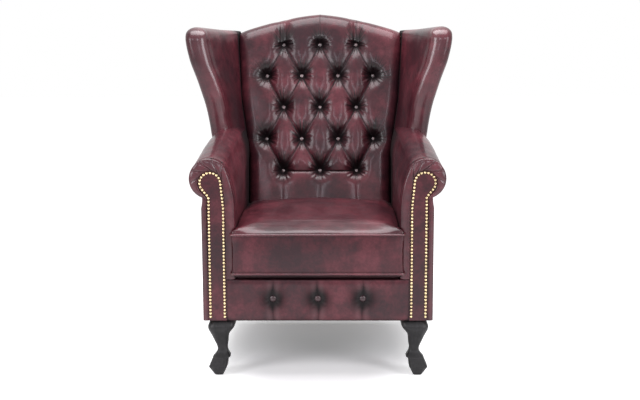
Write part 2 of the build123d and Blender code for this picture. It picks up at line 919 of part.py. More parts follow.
pillows = [make_pillow(cell, valley_plane, tuft_depth) for cell in cells]
flat_buttons = [place for row in button_places for place in row]
with BuildPart() as inside_back:
    add(back_slab.part)
    add(crest_roll.part)
    add(pillows)
    with Locations(*[valley_plane * Location((x, y, 0)) for x, y in flat_buttons]):
        Cylinder(
            button_diameter / 2 + button_gap,
            tuft_depth + cut_overrun,
            align=(Align.CENTER, Align.CENTER, Align.MIN),
            mode=Mode.SUBTRACT,
        )
    for cover in (wing_cover, wing_cover_twin, arm_cover, arm_cover_twin):
        add(cover.part, mode=Mode.SUBTRACT)
    add(crest_rail.part, mode=Mode.SUBTRACT)
save(inside_back, "inside_back")

# Foam behind the buttoned cover, down to the webbing
foam_top = up_back(crest_corner - crest_padding, -tuft_depth)
with BuildPart() as back_foam:
    with BuildSketch(valley_plane.offset(-back_cover_thickness)):
        with BuildLine():
            Polyline((back_half_top, foam_top), *back_outline, (-back_half_top, foam_top), close=True)
        make_face()
    extrude(amount=-seat_depth)
    split(bisect_by=post_front_plane, keep=Keep.TOP)
    split(bisect_by=deck_plane, keep=Keep.TOP)
    for cover in (wing_cover, wing_cover_twin, arm_cover, arm_cover_twin):
        add(cover.part, mode=Mode.SUBTRACT)
save(back_foam, "back_foam")


# A domed head on a thin shank: a covered button on its twine, or a brass nail
def make_stud(diameter, dome, shank_diameter, shank_length):
    ball_radius = (diameter * diameter / 4 + dome * dome) / (2 * dome)
    with BuildPart() as stud:
        with Locations((0, 0, dome - ball_radius)):
            Sphere(ball_radius)
        split(bisect_by=Plane.XY, keep=Keep.TOP)
        Cylinder(shank_diameter / 2, shank_length, align=(Align.CENTER, Align.CENTER, Align.MAX))
    return stud.part


back_button = make_stud(button_diameter, button_dome, twine_diameter, twine_length)
with BuildPart() as back_buttons:
    with Locations(*[valley_plane * Location((x, y, 0)) for x, y in flat_buttons]):
        add(back_button)
save(back_buttons, "back_buttons")

# Front border: a padded leather panel with three buttons between upright pleats
border_plane = depth_plane(0)
border_edges = [-facing_inner, -border_button_pitch, 0, border_button_pitch, facing_inner]
border_cells = [
    [
        (start + pleat_gap / 2, leg_height),
        (end - pleat_gap / 2, leg_height),
        (end - pleat_gap / 2, border_top),
        (start + pleat_gap / 2, border_top),
    ]
    for start, end in zip(border_edges[:-1], border_edges[1:])
]
border_buttons_at = [(x, leg_height + border_button_height) for x in border_edges[1:-1]]
with BuildPart() as front_border:
    with BuildSketch(border_plane):
        with Locations((0, leg_height)):
            Rectangle(2 * facing_inner, border_height, align=(Align.CENTER, Align.MIN))
    extrude(amount=facing_recess - facing_thickness)
    add([make_pillow(cell, border_plane, border_pad) for cell in border_cells])
    with Locations(*[border_plane * Location((x, z, 0)) for x, z in border_buttons_at]):
        Cylinder(
            border_button_diameter / 2 + button_gap,
            border_pad + cut_overrun,
            align=(Align.CENTER, Align.CENTER, Align.MIN),
            mode=Mode.SUBTRACT,
        )
save(front_border, "front_border")

border_button = make_stud(border_button_diameter, button_dome, twine_diameter, border_thickness)
with BuildPart() as border_buttons:
    with Locations(*[border_plane * Location((x, z, 0)) for x, z in border_buttons_at]):
        add(border_button)
save(border_buttons, "border_buttons")

# Serpentine springs from the front rail to the rear rail, and the clips that hold their ends
spring_z = rail_top + clip_height / 2
spring_start = facing_thickness - facing_recess + board_thickness / 2
spring_stop = rear_rail_front + board_thickness / 2
spring_pitch = (spring_stop - spring_start - 2 * spring_end) / (spring_turns + 1)
bend = spring_pitch / 2
slant = bend * sin(pi / 4)
with BuildPart() as spring:
    with BuildLine(Plane.XY.offset(spring_z)) as spring_path:
        first = behind(spring_start + spring_end) + bend
        Line((0, behind(spring_start)), (0, first - bend))
        ThreePointArc((0, first - bend), (bend - slant, first - bend + slant), (bend, first))
        Line((bend, first), (spring_half_width, first))
        for turn in range(spring_turns):
            side = 1 if turn % 2 == 0 else -1
            y = first + spring_pitch * turn
            out = side * spring_half_width
            ThreePointArc((out, y), (out + side * bend, y + bend), (out, y + spring_pitch))
            last = turn == spring_turns - 1
            Line((out, y + spring_pitch), (side * bend if last else -out, y + spring_pitch))
        y = first + spring_pitch * spring_turns
        ThreePointArc((side * bend, y), (side * (bend - slant), y + bend - slant), (0, y + bend))
        Line((0, y + bend), (0, behind(spring_stop)))
    with BuildSketch(Plane(spring_path.line @ 0, z_dir=spring_path.line % 0)):
        Circle(spring_wire / 2)
    sweep()
with BuildPart() as seat_springs:
    with GridLocations(seat_width / spring_count, 0, spring_count, 1):
        add(spring.part)
save(seat_springs, "seat_springs")

with BuildPart() as spring_clips:
    with Locations((0, behind(spring_start), rail_top), (0, behind(spring_stop), rail_top)):
        with GridLocations(seat_width / spring_count, 0, spring_count, 1):
            Box(clip_width, clip_length, clip_height, align=(Align.CENTER, Align.CENTER, Align.MIN))
    add(seat_springs.part, mode=Mode.SUBTRACT)
save(spring_clips, "spring_clips")

# Deck: felt and leather over the springs
deck_front = facing_thickness - facing_recess
with BuildPart() as deck_pad:
    with BuildSketch(Plane.XY.offset(rail_top + clip_height)):
        with Locations((0, behind(deck_front))):
            Rectangle(
                seat_width,
                rear_rail_front + board_thickness - deck_front,
                align=(Align.CENTER, Align.MIN),
            )
    extrude(amount=deck_top - rail_top - clip_height)
save(deck_pad, "deck_pad")

# Dust cover under the seat
with BuildPart() as dust_cover:
    with BuildSketch(Plane.XY.offset(leg_height)):
        with Locations((0, behind(post_back + dust_cover_margin))):
            Rectangle(
                2 * (outer_half - dust_cover_margin),
                rear_rail_front - post_back - 2 * dust_cover_margin,
                align=(Align.CENTER, Align.MIN),
            )
    extrude(amount=dust_cover_thickness)
save(dust_cover, "dust_cover")

# Nails round each facing, evenly spaced along its edge
nail = make_stud(nail_head_diameter, nail_head_height, nail_shank_diameter, nail_shank_length)
with BuildLine(depth_plane(-facing_recess)) as nail_line:
    facing_line(nail_inset, leg_height + nail_lift)
nail_wire = nail_line.wire()
nail_count = round(nail_wire.length / nail_pitch)
with BuildPart() as arm_nails:
    with Locations(
        *[
            Plane(nail_wire.position_at(number / nail_count), z_dir=(0, -1, 0)).location
            for number in range(nail_count + 1)
        ]
    ):
        add(nail)
save_pair(arm_nails, "arm_nails")


# Nails up the front edge of each outside wing panel
def wing_row(height_share):
    for below, above in zip(wing_shares[:-1], wing_shares[1:]):
        if below[0] <= height_share <= above[0]:
            part = (height_share - below[0]) / (above[0] - below[0])
            return [low_value + (high_value - low_value) * part for low_value, high_value in zip(below, above)]


def wing_nail_place(height_share):
    edges = wing_edges(*wing_row(height_share))
    front = edges["front"] + edges["radius"]
    depth_y = edges["rear"] + (front - edges["rear"]) * wing_nail_share
    ray = Axis((2 * outer_half, depth_y, edges["z"]), (-1, 0, 0))
    point, normal = outside_wing_panel.part.find_intersection_points(ray)[0]
    return Plane(point, z_dir=normal if normal.X > 0 else -normal).location


wing_nail_span = wing_height * (wing_panel_top_share - wing_panel_bottom_share)
wing_nail_count = round(wing_nail_span / wing_nail_pitch)
with BuildPart() as wing_nails:
    with Locations(
        *[
            wing_nail_place(
                wing_panel_bottom_share
                + (wing_panel_top_share - wing_panel_bottom_share) * (number + 0.5) / wing_nail_count
            )
            for number in range(wing_nail_count)
        ]
    ):
        add(nail)
save_pair(wing_nails, "wing_nails")

# Seat cushion: a loose boxed cushion whose front corners lap over the arms
cushion_bottom = deck_top + running_clearance
bottom_piping_z = deck_top + cushion_edge
top_piping_z = bottom_piping_z + cushion_boxing
cushion_half = half_seat - cushion_side_gap - piping_diameter / 2


def cushion_rear(z, inset):
    return back_depth(z) - (cushion_back_gap + inset) / cos(lean)


def cushion_section(x_share, crown_share, inset):
    front = -cushion_overhang + cushion_bow * x_share * x_share + inset
    low_z = bottom_piping_z + inset / 2
    high_z = top_piping_z - inset
    under = cushion_bottom + inset
    crown = cushion_side_crown + (cushion_crown - cushion_side_crown) * crown_share
    rear_low = cushion_rear(low_z, inset)
    rear_high = cushion_rear(high_z, inset)
    with BuildSketch(Plane.YZ.offset((cushion_half - inset) * x_share)) as section:
        with BuildLine():
            Polyline(
                (behind(front), low_z),
                (behind(front + cushion_chamfer), under),
                (behind(rear_low - cushion_chamfer), under),
                (behind(rear_low), low_z),
                (behind(rear_high), high_z),
            )
            ThreePointArc(
                (behind(rear_high), high_z),
                (behind((front + rear_high) / 2), high_z + crown),
                (behind(front), high_z),
            )
            ThreePointArc(
                (behind(front), high_z),
                (behind(front + cushion_draw), (low_z + high_z) / 2),
                (behind(front), low_z),
            )
        make_face()
    return section.sketch


with BuildPart() as cushion_core:
    loft([cushion_section(x_share, crown_share, cushion_wall) for x_share, crown_share in crown_shares])
save(cushion_core, "cushion_core")


def make_piping(z):
    corner_x = cushion_half + ear_width
    ear_back = ear_length - cushion_overhang
    rear = cushion_rear(z, 0)
    right = [
        (corner_x, behind(-cushion_overhang)),
        (corner_x, behind(ear_back)),
        (cushion_half, behind(ear_back)),
        (cushion_half, behind(rear)),
    ]
    points = right + [(-x, y) for x, y in reversed(right)]
    with BuildPart() as piping:
        with BuildLine(Plane.XY.offset(z)) as path:
            FilletPolyline(*points, radius=piping_corner, close=True)
        with BuildSketch(Plane(path.line @ 0, z_dir=path.line % 0)):
            Circle(piping_diameter / 2)
        sweep()
    return piping


piping_top = make_piping(top_piping_z)
save(piping_top, "cushion_piping_top")
piping_bottom = make_piping(bottom_piping_z)
save(piping_bottom, "cushion_piping_bottom")

with BuildPart() as cushion_cover:
    loft([cushion_section(x_share, crown_share, 0) for x_share, crown_share in crown_shares])
    with BuildSketch(Plane.XY.offset(bottom_piping_z)):
        with Locations((0, behind(-cushion_overhang))):
            Rectangle(2 * (cushion_half + ear_width), ear_length, align=(Align.CENTER, Align.MIN))
    extrude(amount=cushion_boxing)
    add(cushion_core.part, mode=Mode.SUBTRACT)
    add(piping_top.part, mode=Mode.SUBTRACT)
    add(piping_bottom.part, mode=Mode.SUBTRACT)
save(cushion_cover, "cushion_cover")

# Zip across the rear of the cushion
zip_up = up_back((bottom_piping_z + top_piping_z) / 2, cushion_back_gap)
with BuildPart() as cushion_zip:
    with BuildSketch(back_plane.offset(cushion_back_gap)):
        with Locations((0, zip_up)):
            Rectangle(zip_length, zip_width)
    extrude(amount=-zip_thickness)
save(cushion_zip, "cushion_zip")
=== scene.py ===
import math

import bmesh
import bpy
import numpy as np
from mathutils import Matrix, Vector, noise


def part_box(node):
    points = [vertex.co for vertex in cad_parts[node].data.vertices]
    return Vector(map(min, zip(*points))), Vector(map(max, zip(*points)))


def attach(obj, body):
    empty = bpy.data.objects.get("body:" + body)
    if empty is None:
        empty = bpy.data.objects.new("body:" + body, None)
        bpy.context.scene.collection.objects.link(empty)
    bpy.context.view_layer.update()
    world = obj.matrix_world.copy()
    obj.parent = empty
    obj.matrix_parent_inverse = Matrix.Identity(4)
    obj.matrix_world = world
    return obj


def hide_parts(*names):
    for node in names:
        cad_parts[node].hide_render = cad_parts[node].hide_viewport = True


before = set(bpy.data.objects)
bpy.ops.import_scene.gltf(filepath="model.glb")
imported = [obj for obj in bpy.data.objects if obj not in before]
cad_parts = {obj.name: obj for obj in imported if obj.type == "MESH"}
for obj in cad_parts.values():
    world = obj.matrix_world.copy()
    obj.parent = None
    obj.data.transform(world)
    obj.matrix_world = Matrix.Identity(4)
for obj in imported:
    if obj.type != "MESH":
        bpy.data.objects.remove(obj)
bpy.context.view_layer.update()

print("frame loaded")

# Everything is in metres, on the frame of the CAD model: front is -Y, up is +Z
chair = {
    "halfSeat": 0.247,  # half the width between the arms
    "facingInner": 0.275,
    "facingOuter": 0.330,
    "outerHalf": 0.344,
    "legHeight": 0.169,
    "borderTop": 0.297,
    "deckTop": 0.302,
    "coverFoot": 0.2775,  # the arm covers and the deck end here
    "seatDepth": 0.464,
    "frameDepth": 0.622,
    "height": 1.100,
    "backLean": math.radians(16),
    "rearLean": math.radians(11),
    "postBack": 0.032,
    "panelThickness": 0.005,
    "pipingAhead": 0.027,  # the cushion's piping stands this far ahead of the arm facings
}
rearReach = (
    chair["frameDepth"]
    + math.tan(chair["rearLean"]) * (chair["height"] - chair["legHeight"])
    + chair["panelThickness"] / math.cos(chair["rearLean"])
)
frontY = -(rearReach - chair["pipingAhead"]) / 2  # plane of the two arm facings


def behind(depth):
    return frontY + depth


def rearDepth(z):
    return chair["frameDepth"] + math.tan(chair["rearLean"]) * (z - chair["legHeight"])


def addThing(name, data):
    thing = bpy.data.objects.new(name, data)
    bpy.context.scene.collection.objects.link(thing)
    return thing


# Camera

view = {
    "lens": 59.06,
    "place": (0.049, behind(-3.084), 1.0),
    "turn": (90 - 8.54, 0.2, 0.74),  # pitch, roll and yaw in degrees
}
cameraData = bpy.data.cameras.new("photoCamera")
cameraData.lens = view["lens"]
cameraData.sensor_width = 36
camera = addThing("photoCamera", cameraData)
camera.location = view["place"]
camera.rotation_euler = [math.radians(angle) for angle in view["turn"]]
bpy.context.scene.camera = camera
bpy.context.scene.view_settings.view_transform = "Standard"


# Node helpers

class Wire:
    # one output socket of a node tree; sums written with it add Math nodes
    def __init__(self, tree, socket):
        self.tree = tree
        self.socket = socket

    def math(self, operation, *values, clamp=False):
        settings = {"operation": operation, "use_clamp": clamp}
        return addNode(self.tree, "ShaderNodeMath", settings, dict(enumerate(values)))

    def __add__(self, other):
        return self.math("ADD", self, other)

    def __sub__(self, other):
        return self.math("SUBTRACT", self, other)

    def __rsub__(self, other):
        return self.math("SUBTRACT", other, self)

    def __mul__(self, other):
        return self.math("MULTIPLY", self, other)

    __radd__ = __add__
    __rmul__ = __mul__

    def most(self, other):
        return self.math("MAXIMUM", self, other)

    def sine(self):
        return self.math("SINE", self)

    def held(self):
        return self.math("MULTIPLY", self, 1.0, clamp=True)


def addNode(tree, kind, settings=None, sockets=None, output=0):
    node = tree.nodes.new(kind)
    for key, value in (settings or {}).items():
        setattr(node, key, value)
    for key, value in (sockets or {}).items():
        if isinstance(value, Wire):
            tree.links.new(value.socket, node.inputs[key])
        else:
            node.inputs[key].default_value = value
    return Wire(tree, node.outputs[output]) if len(node.outputs) else None


def newMaterial(name):
    material = bpy.data.materials.new(name)
    material.use_nodes = True
    material.node_tree.nodes.clear()
    return material, material.node_tree


def finishMaterial(tree, colour, roughness, normal, more=None):
    sockets = {"Base Color": colour, "Roughness": roughness, "Normal": normal, **(more or {})}
    shader = addNode(tree, "ShaderNodeBsdfPrincipled", {}, sockets)
    addNode(tree, "ShaderNodeOutputMaterial", {}, {"Surface": shader})


def barePoint(tree):
    return addNode(tree, "ShaderNodeTexCoord", {}, {}, "Object")


def objectPoint(tree, scale=(1, 1, 1)):
    return addNode(tree, "ShaderNodeMapping", {}, {"Vector": barePoint(tree), "Scale": scale})


def attributeOf(tree, name, output="Fac"):
    return addNode(tree, "ShaderNodeAttribute", {"attribute_name": name}, {}, output)


def cloudy(tree, place, scale, detail=3.0, rough=0.5, output=0):
    sockets = {"Vector": place, "Scale": scale, "Detail": detail, "Roughness": rough}
    return addNode(tree, "ShaderNodeTexNoise", {}, sockets, output)


def stretch(tree, value, low, high, toLow=0.0, toHigh=1.0):
    reach = {"Value": value, "From Min": low, "From Max": high, "To Min": toLow, "To Max": toHigh}
    return addNode(tree, "ShaderNodeMapRange", {"interpolation_type": "SMOOTHSTEP"}, reach)


def mixColour(tree, factor, *colours):
    first, second = (c if isinstance(c, Wire) else (*c, 1) for c in colours)
    return addNode(tree, "ShaderNodeMix", {"data_type": "RGBA"}, {0: factor, 6: first, 7: second}, 2)


def bumpOf(tree, strength, distance, height, under=None):
    sockets = {"Strength": strength, "Distance": distance, "Height": height}
    if under:
        sockets["Normal"] = under
    return addNode(tree, "ShaderNodeBump", {}, sockets)


def seenWhite(tree):
    # 1 for what the camera sees, straight or in a mirror or through glass
    rays = ("Is Camera Ray", "Is Glossy Ray", "Is Transmission Ray")
    straight, glossy, through = (addNode(tree, "ShaderNodeLightPath", {}, {}, ray) for ray in rays)
    return (straight + glossy + through).held()


# Materials

leather = {
    "light": (0.142, 0.031, 0.042),  # lighter tone, for rubbed patches of random tone and for the painted sheen
    "base": (0.067, 0.0125, 0.0185),
    "dark": (0.023, 0.0055, 0.0090),  # antique stain between the rubbed patches
    "black": (0.0045, 0.0022, 0.0028),  # painted shade in pleats, seams and recesses, and the dark stain round the buttons
    "patch": 6.0,
    "mottle": 30.0,
    "streak": 20.0,
    "grain": 330.0,
    "crease": 19.0,
    "fineBump": (0.16, 0.001),  # strength and height
    "broadBump": (0.22, 0.006),
    "roughness": 0.36,
    "specular": 0.18,
    "coat": 0.30,
    "coatRoughness": 0.19,
}


def makeLeather(name, changes=None):
    look = {**leather, **(changes or {})}
    material, tree = newMaterial(name)
    place = objectPoint(tree)
    shade, paintedSheen, fan = (attributeOf(tree, key) for key in ("shade", "paintedSheen", "fan"))
    patch = cloudy(tree, place, look["patch"], 3.0, 0.55)
    mottle = cloudy(tree, place, look["mottle"], 5.0, 0.62)
    fleck = cloudy(tree, place, look["mottle"] * 4.3, 3.0, 0.6)
    streak = cloudy(tree, attributeOf(tree, "spoke", "Vector"), look["streak"], 3.0, 0.62)
    tone = patch * 0.55 + mottle * 0.31 + fleck * 0.14
    colour = mixColour(tree, stretch(tree, tone, 0.38, 0.58), look["dark"], look["base"])
    # lighter where the random tone runs high, and where the painted sheen lies
    mixShare = (stretch(tree, tone, 0.50, 0.68) * 0.75 + paintedSheen * 0.7).held()
    colour = mixColour(tree, mixShare, colour, look["light"])
    # dark stain: soft at its edge, and drawn out into streaks where it fans out from a button
    edge = fan * (1.0 - fan) * 4.0
    fanned = stretch(tree, fan + (streak - 0.5) * 2.5 * edge, 0.20, 0.84)
    # painted shade: the shade layer darkens pleats, seams and recesses towards black
    paintedShade = stretch(tree, shade + (mottle - 0.5) * 0.5 * shade, 0.10, 0.90)
    colour = mixColour(tree, fanned.most(paintedShade).held(), colour, look["black"])
    # pleats and seams lie in their own shadow, so they are dull as well as dark
    roughness = (mottle * 0.16 + (look["roughness"] - 0.08) + paintedShade * 0.40).held()
    pebble = addNode(
        tree,
        "ShaderNodeTexVoronoi",
        {"feature": "SMOOTH_F1"},
        {"Vector": place, "Scale": look["grain"], "Smoothness": 0.6},
        "Distance",
    )
    wander = cloudy(tree, place, 16.0, 2.0, output="Color")
    bent = addNode(
        tree,
        "ShaderNodeVectorMath",
        {"operation": "MULTIPLY_ADD"},
        {0: wander, 1: (0.05, 0.05, 0.05), 2: place},
    )
    crease = addNode(
        tree,
        "ShaderNodeTexNoise",
        {"noise_type": "RIDGED_MULTIFRACTAL"},
        {"Vector": bent, "Scale": look["crease"], "Detail": 3.0, "Roughness": 0.5},
    )
    fine = bumpOf(tree, *look["fineBump"], pebble * 0.5 + fleck * 0.5)
    broadHeight = mottle * 0.5 + crease * 0.13 + streak * fan * 0.35
    more = {
        "Specular IOR Level": look["specular"],
        # more coat where the painted sheen lies, less in the painted shade
        "Coat Weight": ((1.0 - paintedShade * 0.9) * look["coat"] + paintedSheen * 0.9).held(),
        "Coat Roughness": look["coatRoughness"],
    }
    broad = bumpOf(tree, *look["broadBump"], broadHeight, fine)
    finishMaterial(tree, colour, roughness, broad, more)
    return material


brass = {"bright": (0.66, 0.53, 0.31), "tarnished": (0.09, 0.06, 0.03)}


def makeBrass(name, roughness=0.26):
    material, tree = newMaterial(name)
    place = objectPoint(tree)
    tarnish = cloudy(tree, place, 260.0, 3.0, 0.6)
    broad = cloudy(tree, place, 14.0, 2.0)
    mixShare = stretch(tree, tarnish * 0.5 + broad * 0.5, 0.44, 0.64) * 0.4 + attributeOf(tree, "shade")
    finishMaterial(
        tree,
        mixColour(tree, mixShare.held(), brass["bright"], brass["tarnished"]),
        tarnish * 0.2 + (roughness - 0.1),
        bumpOf(tree, 0.15, 0.0004, tarnish),
        {"Metallic": 1.0},
    )
    return material


# A fine noise drawn out along the grain and a broad one; each noise is its scale, detail and roughness
grained = {
    "oiledSteel": {
        "grain": (400, 400, 60),
        "fine": (1.0, 2.0, 0.5),
        "broad": (30.0, 3.0, 0.6),
        "fineShare": 0.0,
        "reach": (0.40, 0.65),
        "tones": ((0.30, 0.31, 0.33), (0.12, 0.12, 0.13)),
        "roughness": (0.30, 0.25),
        "bump": (0.10, 0.0004),
        "more": {"Metallic": 1.0},
    },
    "blackWood": {
        "grain": (160, 160, 9),
        "fine": (1.0, 4.0, 0.6),
        "broad": (22.0, 3.0, 0.55),
        "fineShare": 0.5,
        "reach": (0.42, 0.66),
        "tones": ((0.006, 0.0055, 0.006), (0.016, 0.0145, 0.016)),
        "roughness": (0.16, 0.38),
        "bump": (0.25, 0.0006),
        "more": {"Specular IOR Level": 0.3, "Coat Weight": 0.05, "Coat Roughness": 0.22},
    },
    "planedBeech": {
        "grain": (90, 6, 90),
        "fine": (1.0, 5.0, 0.6),
        "broadGrain": (700, 60, 700),
        "broad": (1.0, 2.0, 0.5),
        "fineShare": 1.0,
        "reach": (0.35, 0.68),
        "tones": ((0.52, 0.33, 0.18), (0.70, 0.50, 0.31)),
        "flecks": (0.36, 0.2, 0.1),
        "roughness": (0.20, 0.45),
        "bump": (0.20, 0.0005),
    },
    "glidePlastic": {
        "grain": (1, 1, 1),
        "fine": (420.0, 3.0, 0.6),
        "broad": (420.0, 3.0, 0.6),
        "fineShare": 1.0,
        "reach": (0.45, 0.70),
        "tones": ((0.02, 0.02, 0.02), (0.07, 0.07, 0.07)),
        "roughness": (0.30, 0.40),
        "bump": (0.30, 0.0004),
    },
}


def makeGrained(name):
    look = grained[name]
    material, tree = newMaterial(name)
    fine = cloudy(tree, objectPoint(tree, look["grain"]), *look["fine"])
    broad = cloudy(tree, objectPoint(tree, look.get("broadGrain", (1, 1, 1))), *look["broad"])
    mask = fine * look["fineShare"] + broad * (1 - look["fineShare"])
    colour = mixColour(tree, stretch(tree, mask, *look["reach"]), *look["tones"])
    if "flecks" in look:
        colour = mixColour(tree, stretch(tree, broad, 0.55, 0.7) * 0.4, colour, look["flecks"])
    varied, least = look["roughness"]
    bump = bumpOf(tree, *look["bump"], fine)
    finishMaterial(tree, colour, broad * varied + least, bump, look.get("more"))
    return material


def makeWoven(name, warp, weft, pitch, roughness=0.85):
    # plain weave: two sets of threads that pass over each other
    material, tree = newMaterial(name)
    place = barePoint(tree)
    x, y, z = (addNode(tree, "ShaderNodeSeparateXYZ", {}, {0: place}, axis) for axis in range(3))
    turns = 2 * math.pi / pitch
    weave = stretch(tree, (x * turns).sine() * ((y + z) * turns).sine(), -0.6, 0.6)
    fuzz = cloudy(tree, objectPoint(tree), 90.0, 4.0, 0.6)
    colour = mixColour(tree, weave, warp, weft)
    mixShare = stretch(tree, fuzz, 0.35, 0.75) * 0.5
    colour = mixColour(tree, mixShare, colour, tuple(0.4 * c for c in warp))
    finishMaterial(tree, colour, fuzz * 0.1 + roughness, bumpOf(tree, 0.5, 0.0006, weave))
    return material


def makeFoam(name):
    material, tree = newMaterial(name)
    sockets = {"Vector": objectPoint(tree), "Scale": 500.0}
    cells = addNode(tree, "ShaderNodeTexVoronoi", {"feature": "F1"}, sockets, "Distance")
    aged = cloudy(tree, objectPoint(tree), 6.0, 3.0, 0.6)
    colour = mixColour(tree, stretch(tree, aged, 0.4, 0.65), (0.80, 0.74, 0.55), (0.66, 0.56, 0.36))
    finishMaterial(tree, colour, cells * 0.1 + 0.9, bumpOf(tree, 0.6, 0.001, cells))
    return material


# a paler copy of the leather: painted highlight on the back buttons
buttonPaintedHighlightLook = {
    "light": (0.34, 0.24, 0.24),
    "base": (0.19, 0.11, 0.115),
    "specular": 0.7,
    "coat": 1.0,
    "coatRoughness": 0.06,
}
# a darker copy of the leather: painted shade on the border buttons
borderButtonPaintedShadeLook = {
    "light": (0.07, 0.022, 0.028),
    "base": (0.035, 0.010, 0.013),
    "specular": 0.3,
    "coat": 0.5,
    "coatRoughness": 0.1,
}
deckLook = {"roughness": 0.5, "coat": 0.1, "light": (0.11, 0.03, 0.036)}
finishes = {
    "leather": makeLeather("oxbloodLeather"),
    "buttonLeatherWithPaintedHighlight": makeLeather("buttonLeatherWithPaintedHighlight", buttonPaintedHighlightLook),
    "borderButtonLeatherWithPaintedShade": makeLeather("borderButtonLeatherWithPaintedShade", borderButtonPaintedShadeLook),
    "deckLeather": makeLeather("deckLeather", deckLook),
    "brass": makeBrass("antiqueBrass"),
    "zipBrass": makeBrass("zipBrass", 0.4),
    "steel": makeGrained("oiledSteel"),
    "blackWood": makeGrained("blackWood"),
    "beech": makeGrained("planedBeech"),
    "webbing": makeWoven("juteWebbing", (0.34, 0.25, 0.14), (0.22, 0.15, 0.08), 0.004),
    "dustCloth": makeWoven("dustCloth", (0.02, 0.02, 0.02), (0.035, 0.035, 0.035), 0.0016),
    "foam": makeFoam("opencellFoam"),
    "glide": makeGrained("glidePlastic"),
}
print("materials made")


# Mesh helpers

def addLayer(mesh, key, numbers, kind="FLOAT"):
    # one number or one direction for each point
    layer = mesh.attributes.new(key, kind, "POINT")
    field = "value" if kind == "FLOAT" else "vector"
    layer.data.foreach_set(field, np.asarray(numbers, dtype=np.float32).reshape(-1))


def meshFrom(name, points, faces, values=None, directions=None):
    mesh = bpy.data.meshes.new(name)
    mesh.from_pydata([tuple(p) for p in points], [], faces)
    for key, numbers in (values or {}).items():
        addLayer(mesh, key, numbers)
    for key, vectors in (directions or {}).items():
        addLayer(mesh, key, vectors, "FLOAT_VECTOR")
    mesh.validate()
    return addThing(name, mesh)


def tidyMesh(thing, merge=1e-5):
    shape = bmesh.new()
    shape.from_mesh(thing.data)
    bmesh.ops.remove_doubles(shape, verts=shape.verts, dist=merge)
    bmesh.ops.recalc_face_normals(shape, faces=shape.faces)
    for face in shape.faces:
        face.smooth = True
    shape.to_mesh(thing.data)
    shape.free()
    return thing


def settle(thing):
    # the evaluated mesh becomes the piece's own mesh and its modifiers go
    graph = bpy.context.evaluated_depsgraph_get()
    mesh = bpy.data.meshes.new_from_object(thing.evaluated_get(graph))
    thing.modifiers.clear()
    thing.data = mesh


def pointsOf(thing):
    return np.array([v.co for v in thing.data.vertices])


def movePoints(thing, points):
    thing.data.vertices.foreach_set("co", points.astype(np.float32).reshape(-1))


def gridFaces(rows, columns, loopRows=False, loopColumns=False):
    faces = []
    for r in range(rows if loopRows else rows - 1):
        up = (r + 1) % rows
        for c in range(columns if loopColumns else columns - 1):
            right = (c + 1) % columns
            corners = ((r, c), (r, right), (up, right), (up, c))
            faces.append(tuple(row * columns + column for row, column in corners))
    return faces


def gridMesh(
    name,
    grid,
    values=None,
    loopRows=False,
    loopColumns=False,
    capRows=False,
    capColumns=False,
    directions=None,
):
    # grid is an array of rows x columns x 3; a cap closes the first and the last row or column
    rows, columns = grid.shape[:2]
    faces = gridFaces(rows, columns, loopRows, loopColumns)
    if capRows:
        faces += [[row * columns + c for c in range(columns)] for row in (0, rows - 1)]
    if capColumns:
        faces += [[r * columns + column for r in range(rows)] for column in (0, columns - 1)]
    flat = {key: np.asarray(numbers).reshape(-1) for key, numbers in (values or {}).items()}
    return tidyMesh(meshFrom(name, grid.reshape(-1, 3), faces, flat, directions))


def mirrored(thing, name):
    twin = addThing(name, thing.data.copy())
    shape = bmesh.new()
    shape.from_mesh(twin.data)
    for vert in shape.verts:
        vert.co.x = -vert.co.x
    bmesh.ops.recalc_face_normals(shape, faces=shape.faces)
    shape.to_mesh(twin.data)
    shape.free()
    return twin


def dress(thing, material, body, slot, *nodes, fill=None):
    thing.data.materials.clear()
    thing.data.materials.append(material)
    if nodes:
        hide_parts(*nodes)
    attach(thing, body)


def dressPair(right, leftName, node, fill):
    left = mirrored(right, leftName)
    for thing, side in ((right, "_right"), (left, "_left")):
        dress(thing, finishes["leather"], "chair", "oxblood_leather", node + side, fill=fill)


def ripple(points, scale, seed=0.0):
    # smooth noise from -1 to 1 at each point
    flat = np.asarray(points, float).reshape(-1, 3)
    shift = Vector((seed * 3.7, seed * 1.9, seed * 5.3))
    found = [noise.noise(Vector(p) * scale + shift) for p in flat]
    return np.array(found).reshape(np.asarray(points).shape[:-1])


def domed(away, reach):
    # 0 at an edge, rising round to 1 at its reach
    return np.sqrt(1 - (1 - np.clip(away / reach, 0, 1)) ** 2)


def bell(away, width):
    return np.exp(-((away / width) ** 2))


def ramp(value, start, run):
    return np.clip((value - start) / run, 0, 1)


def outwardOf(grid, first, second):
    # square to each row's own line, in the plane of two axes
    along = np.roll(grid, -1, axis=1) - np.roll(grid, 1, axis=1)
    outward = np.zeros_like(grid)
    outward[..., first] = -along[..., second]
    outward[..., second] = along[..., first]
    return outward / (np.linalg.norm(outward, axis=2, keepdims=True) + 1e-9)


def lengthsAlong(points):
    return np.concatenate([[0], np.cumsum(np.linalg.norm(np.diff(points, axis=0), axis=1))])


def pointsAt(places, steps, points):
    return np.stack([np.interp(places, steps, points[:, i]) for i in (0, 1)], axis=1)


def arcPoints(centre, radius, first, last, count):
    angles = np.radians(np.linspace(first, last, count))
    return np.stack([centre[0] + radius * np.cos(angles), centre[1] + radius * np.sin(angles)], axis=1)


def linePoints(first, last, count):
    return np.linspace(np.array(first, float), np.array(last, float), count)


def circleOf(a, b, c):
    # centre and radius of the circle through three points
    (ax, ay), (bx, by), (cx, cy) = a, b, c
    d = 2 * (ax * (by - cy) + bx * (cy - ay) + cx * (ay - by))
    sa, sb, sc = ax * ax + ay * ay, bx * bx + by * by, cx * cx + cy * cy
    x = (sa * (by - cy) + sb * (cy - ay) + sc * (ay - by)) / d
    y = (sa * (cx - bx) + sb * (ax - cx) + sc * (bx - ax)) / d
    return x, y, math.hypot(ax - x, ay - y)


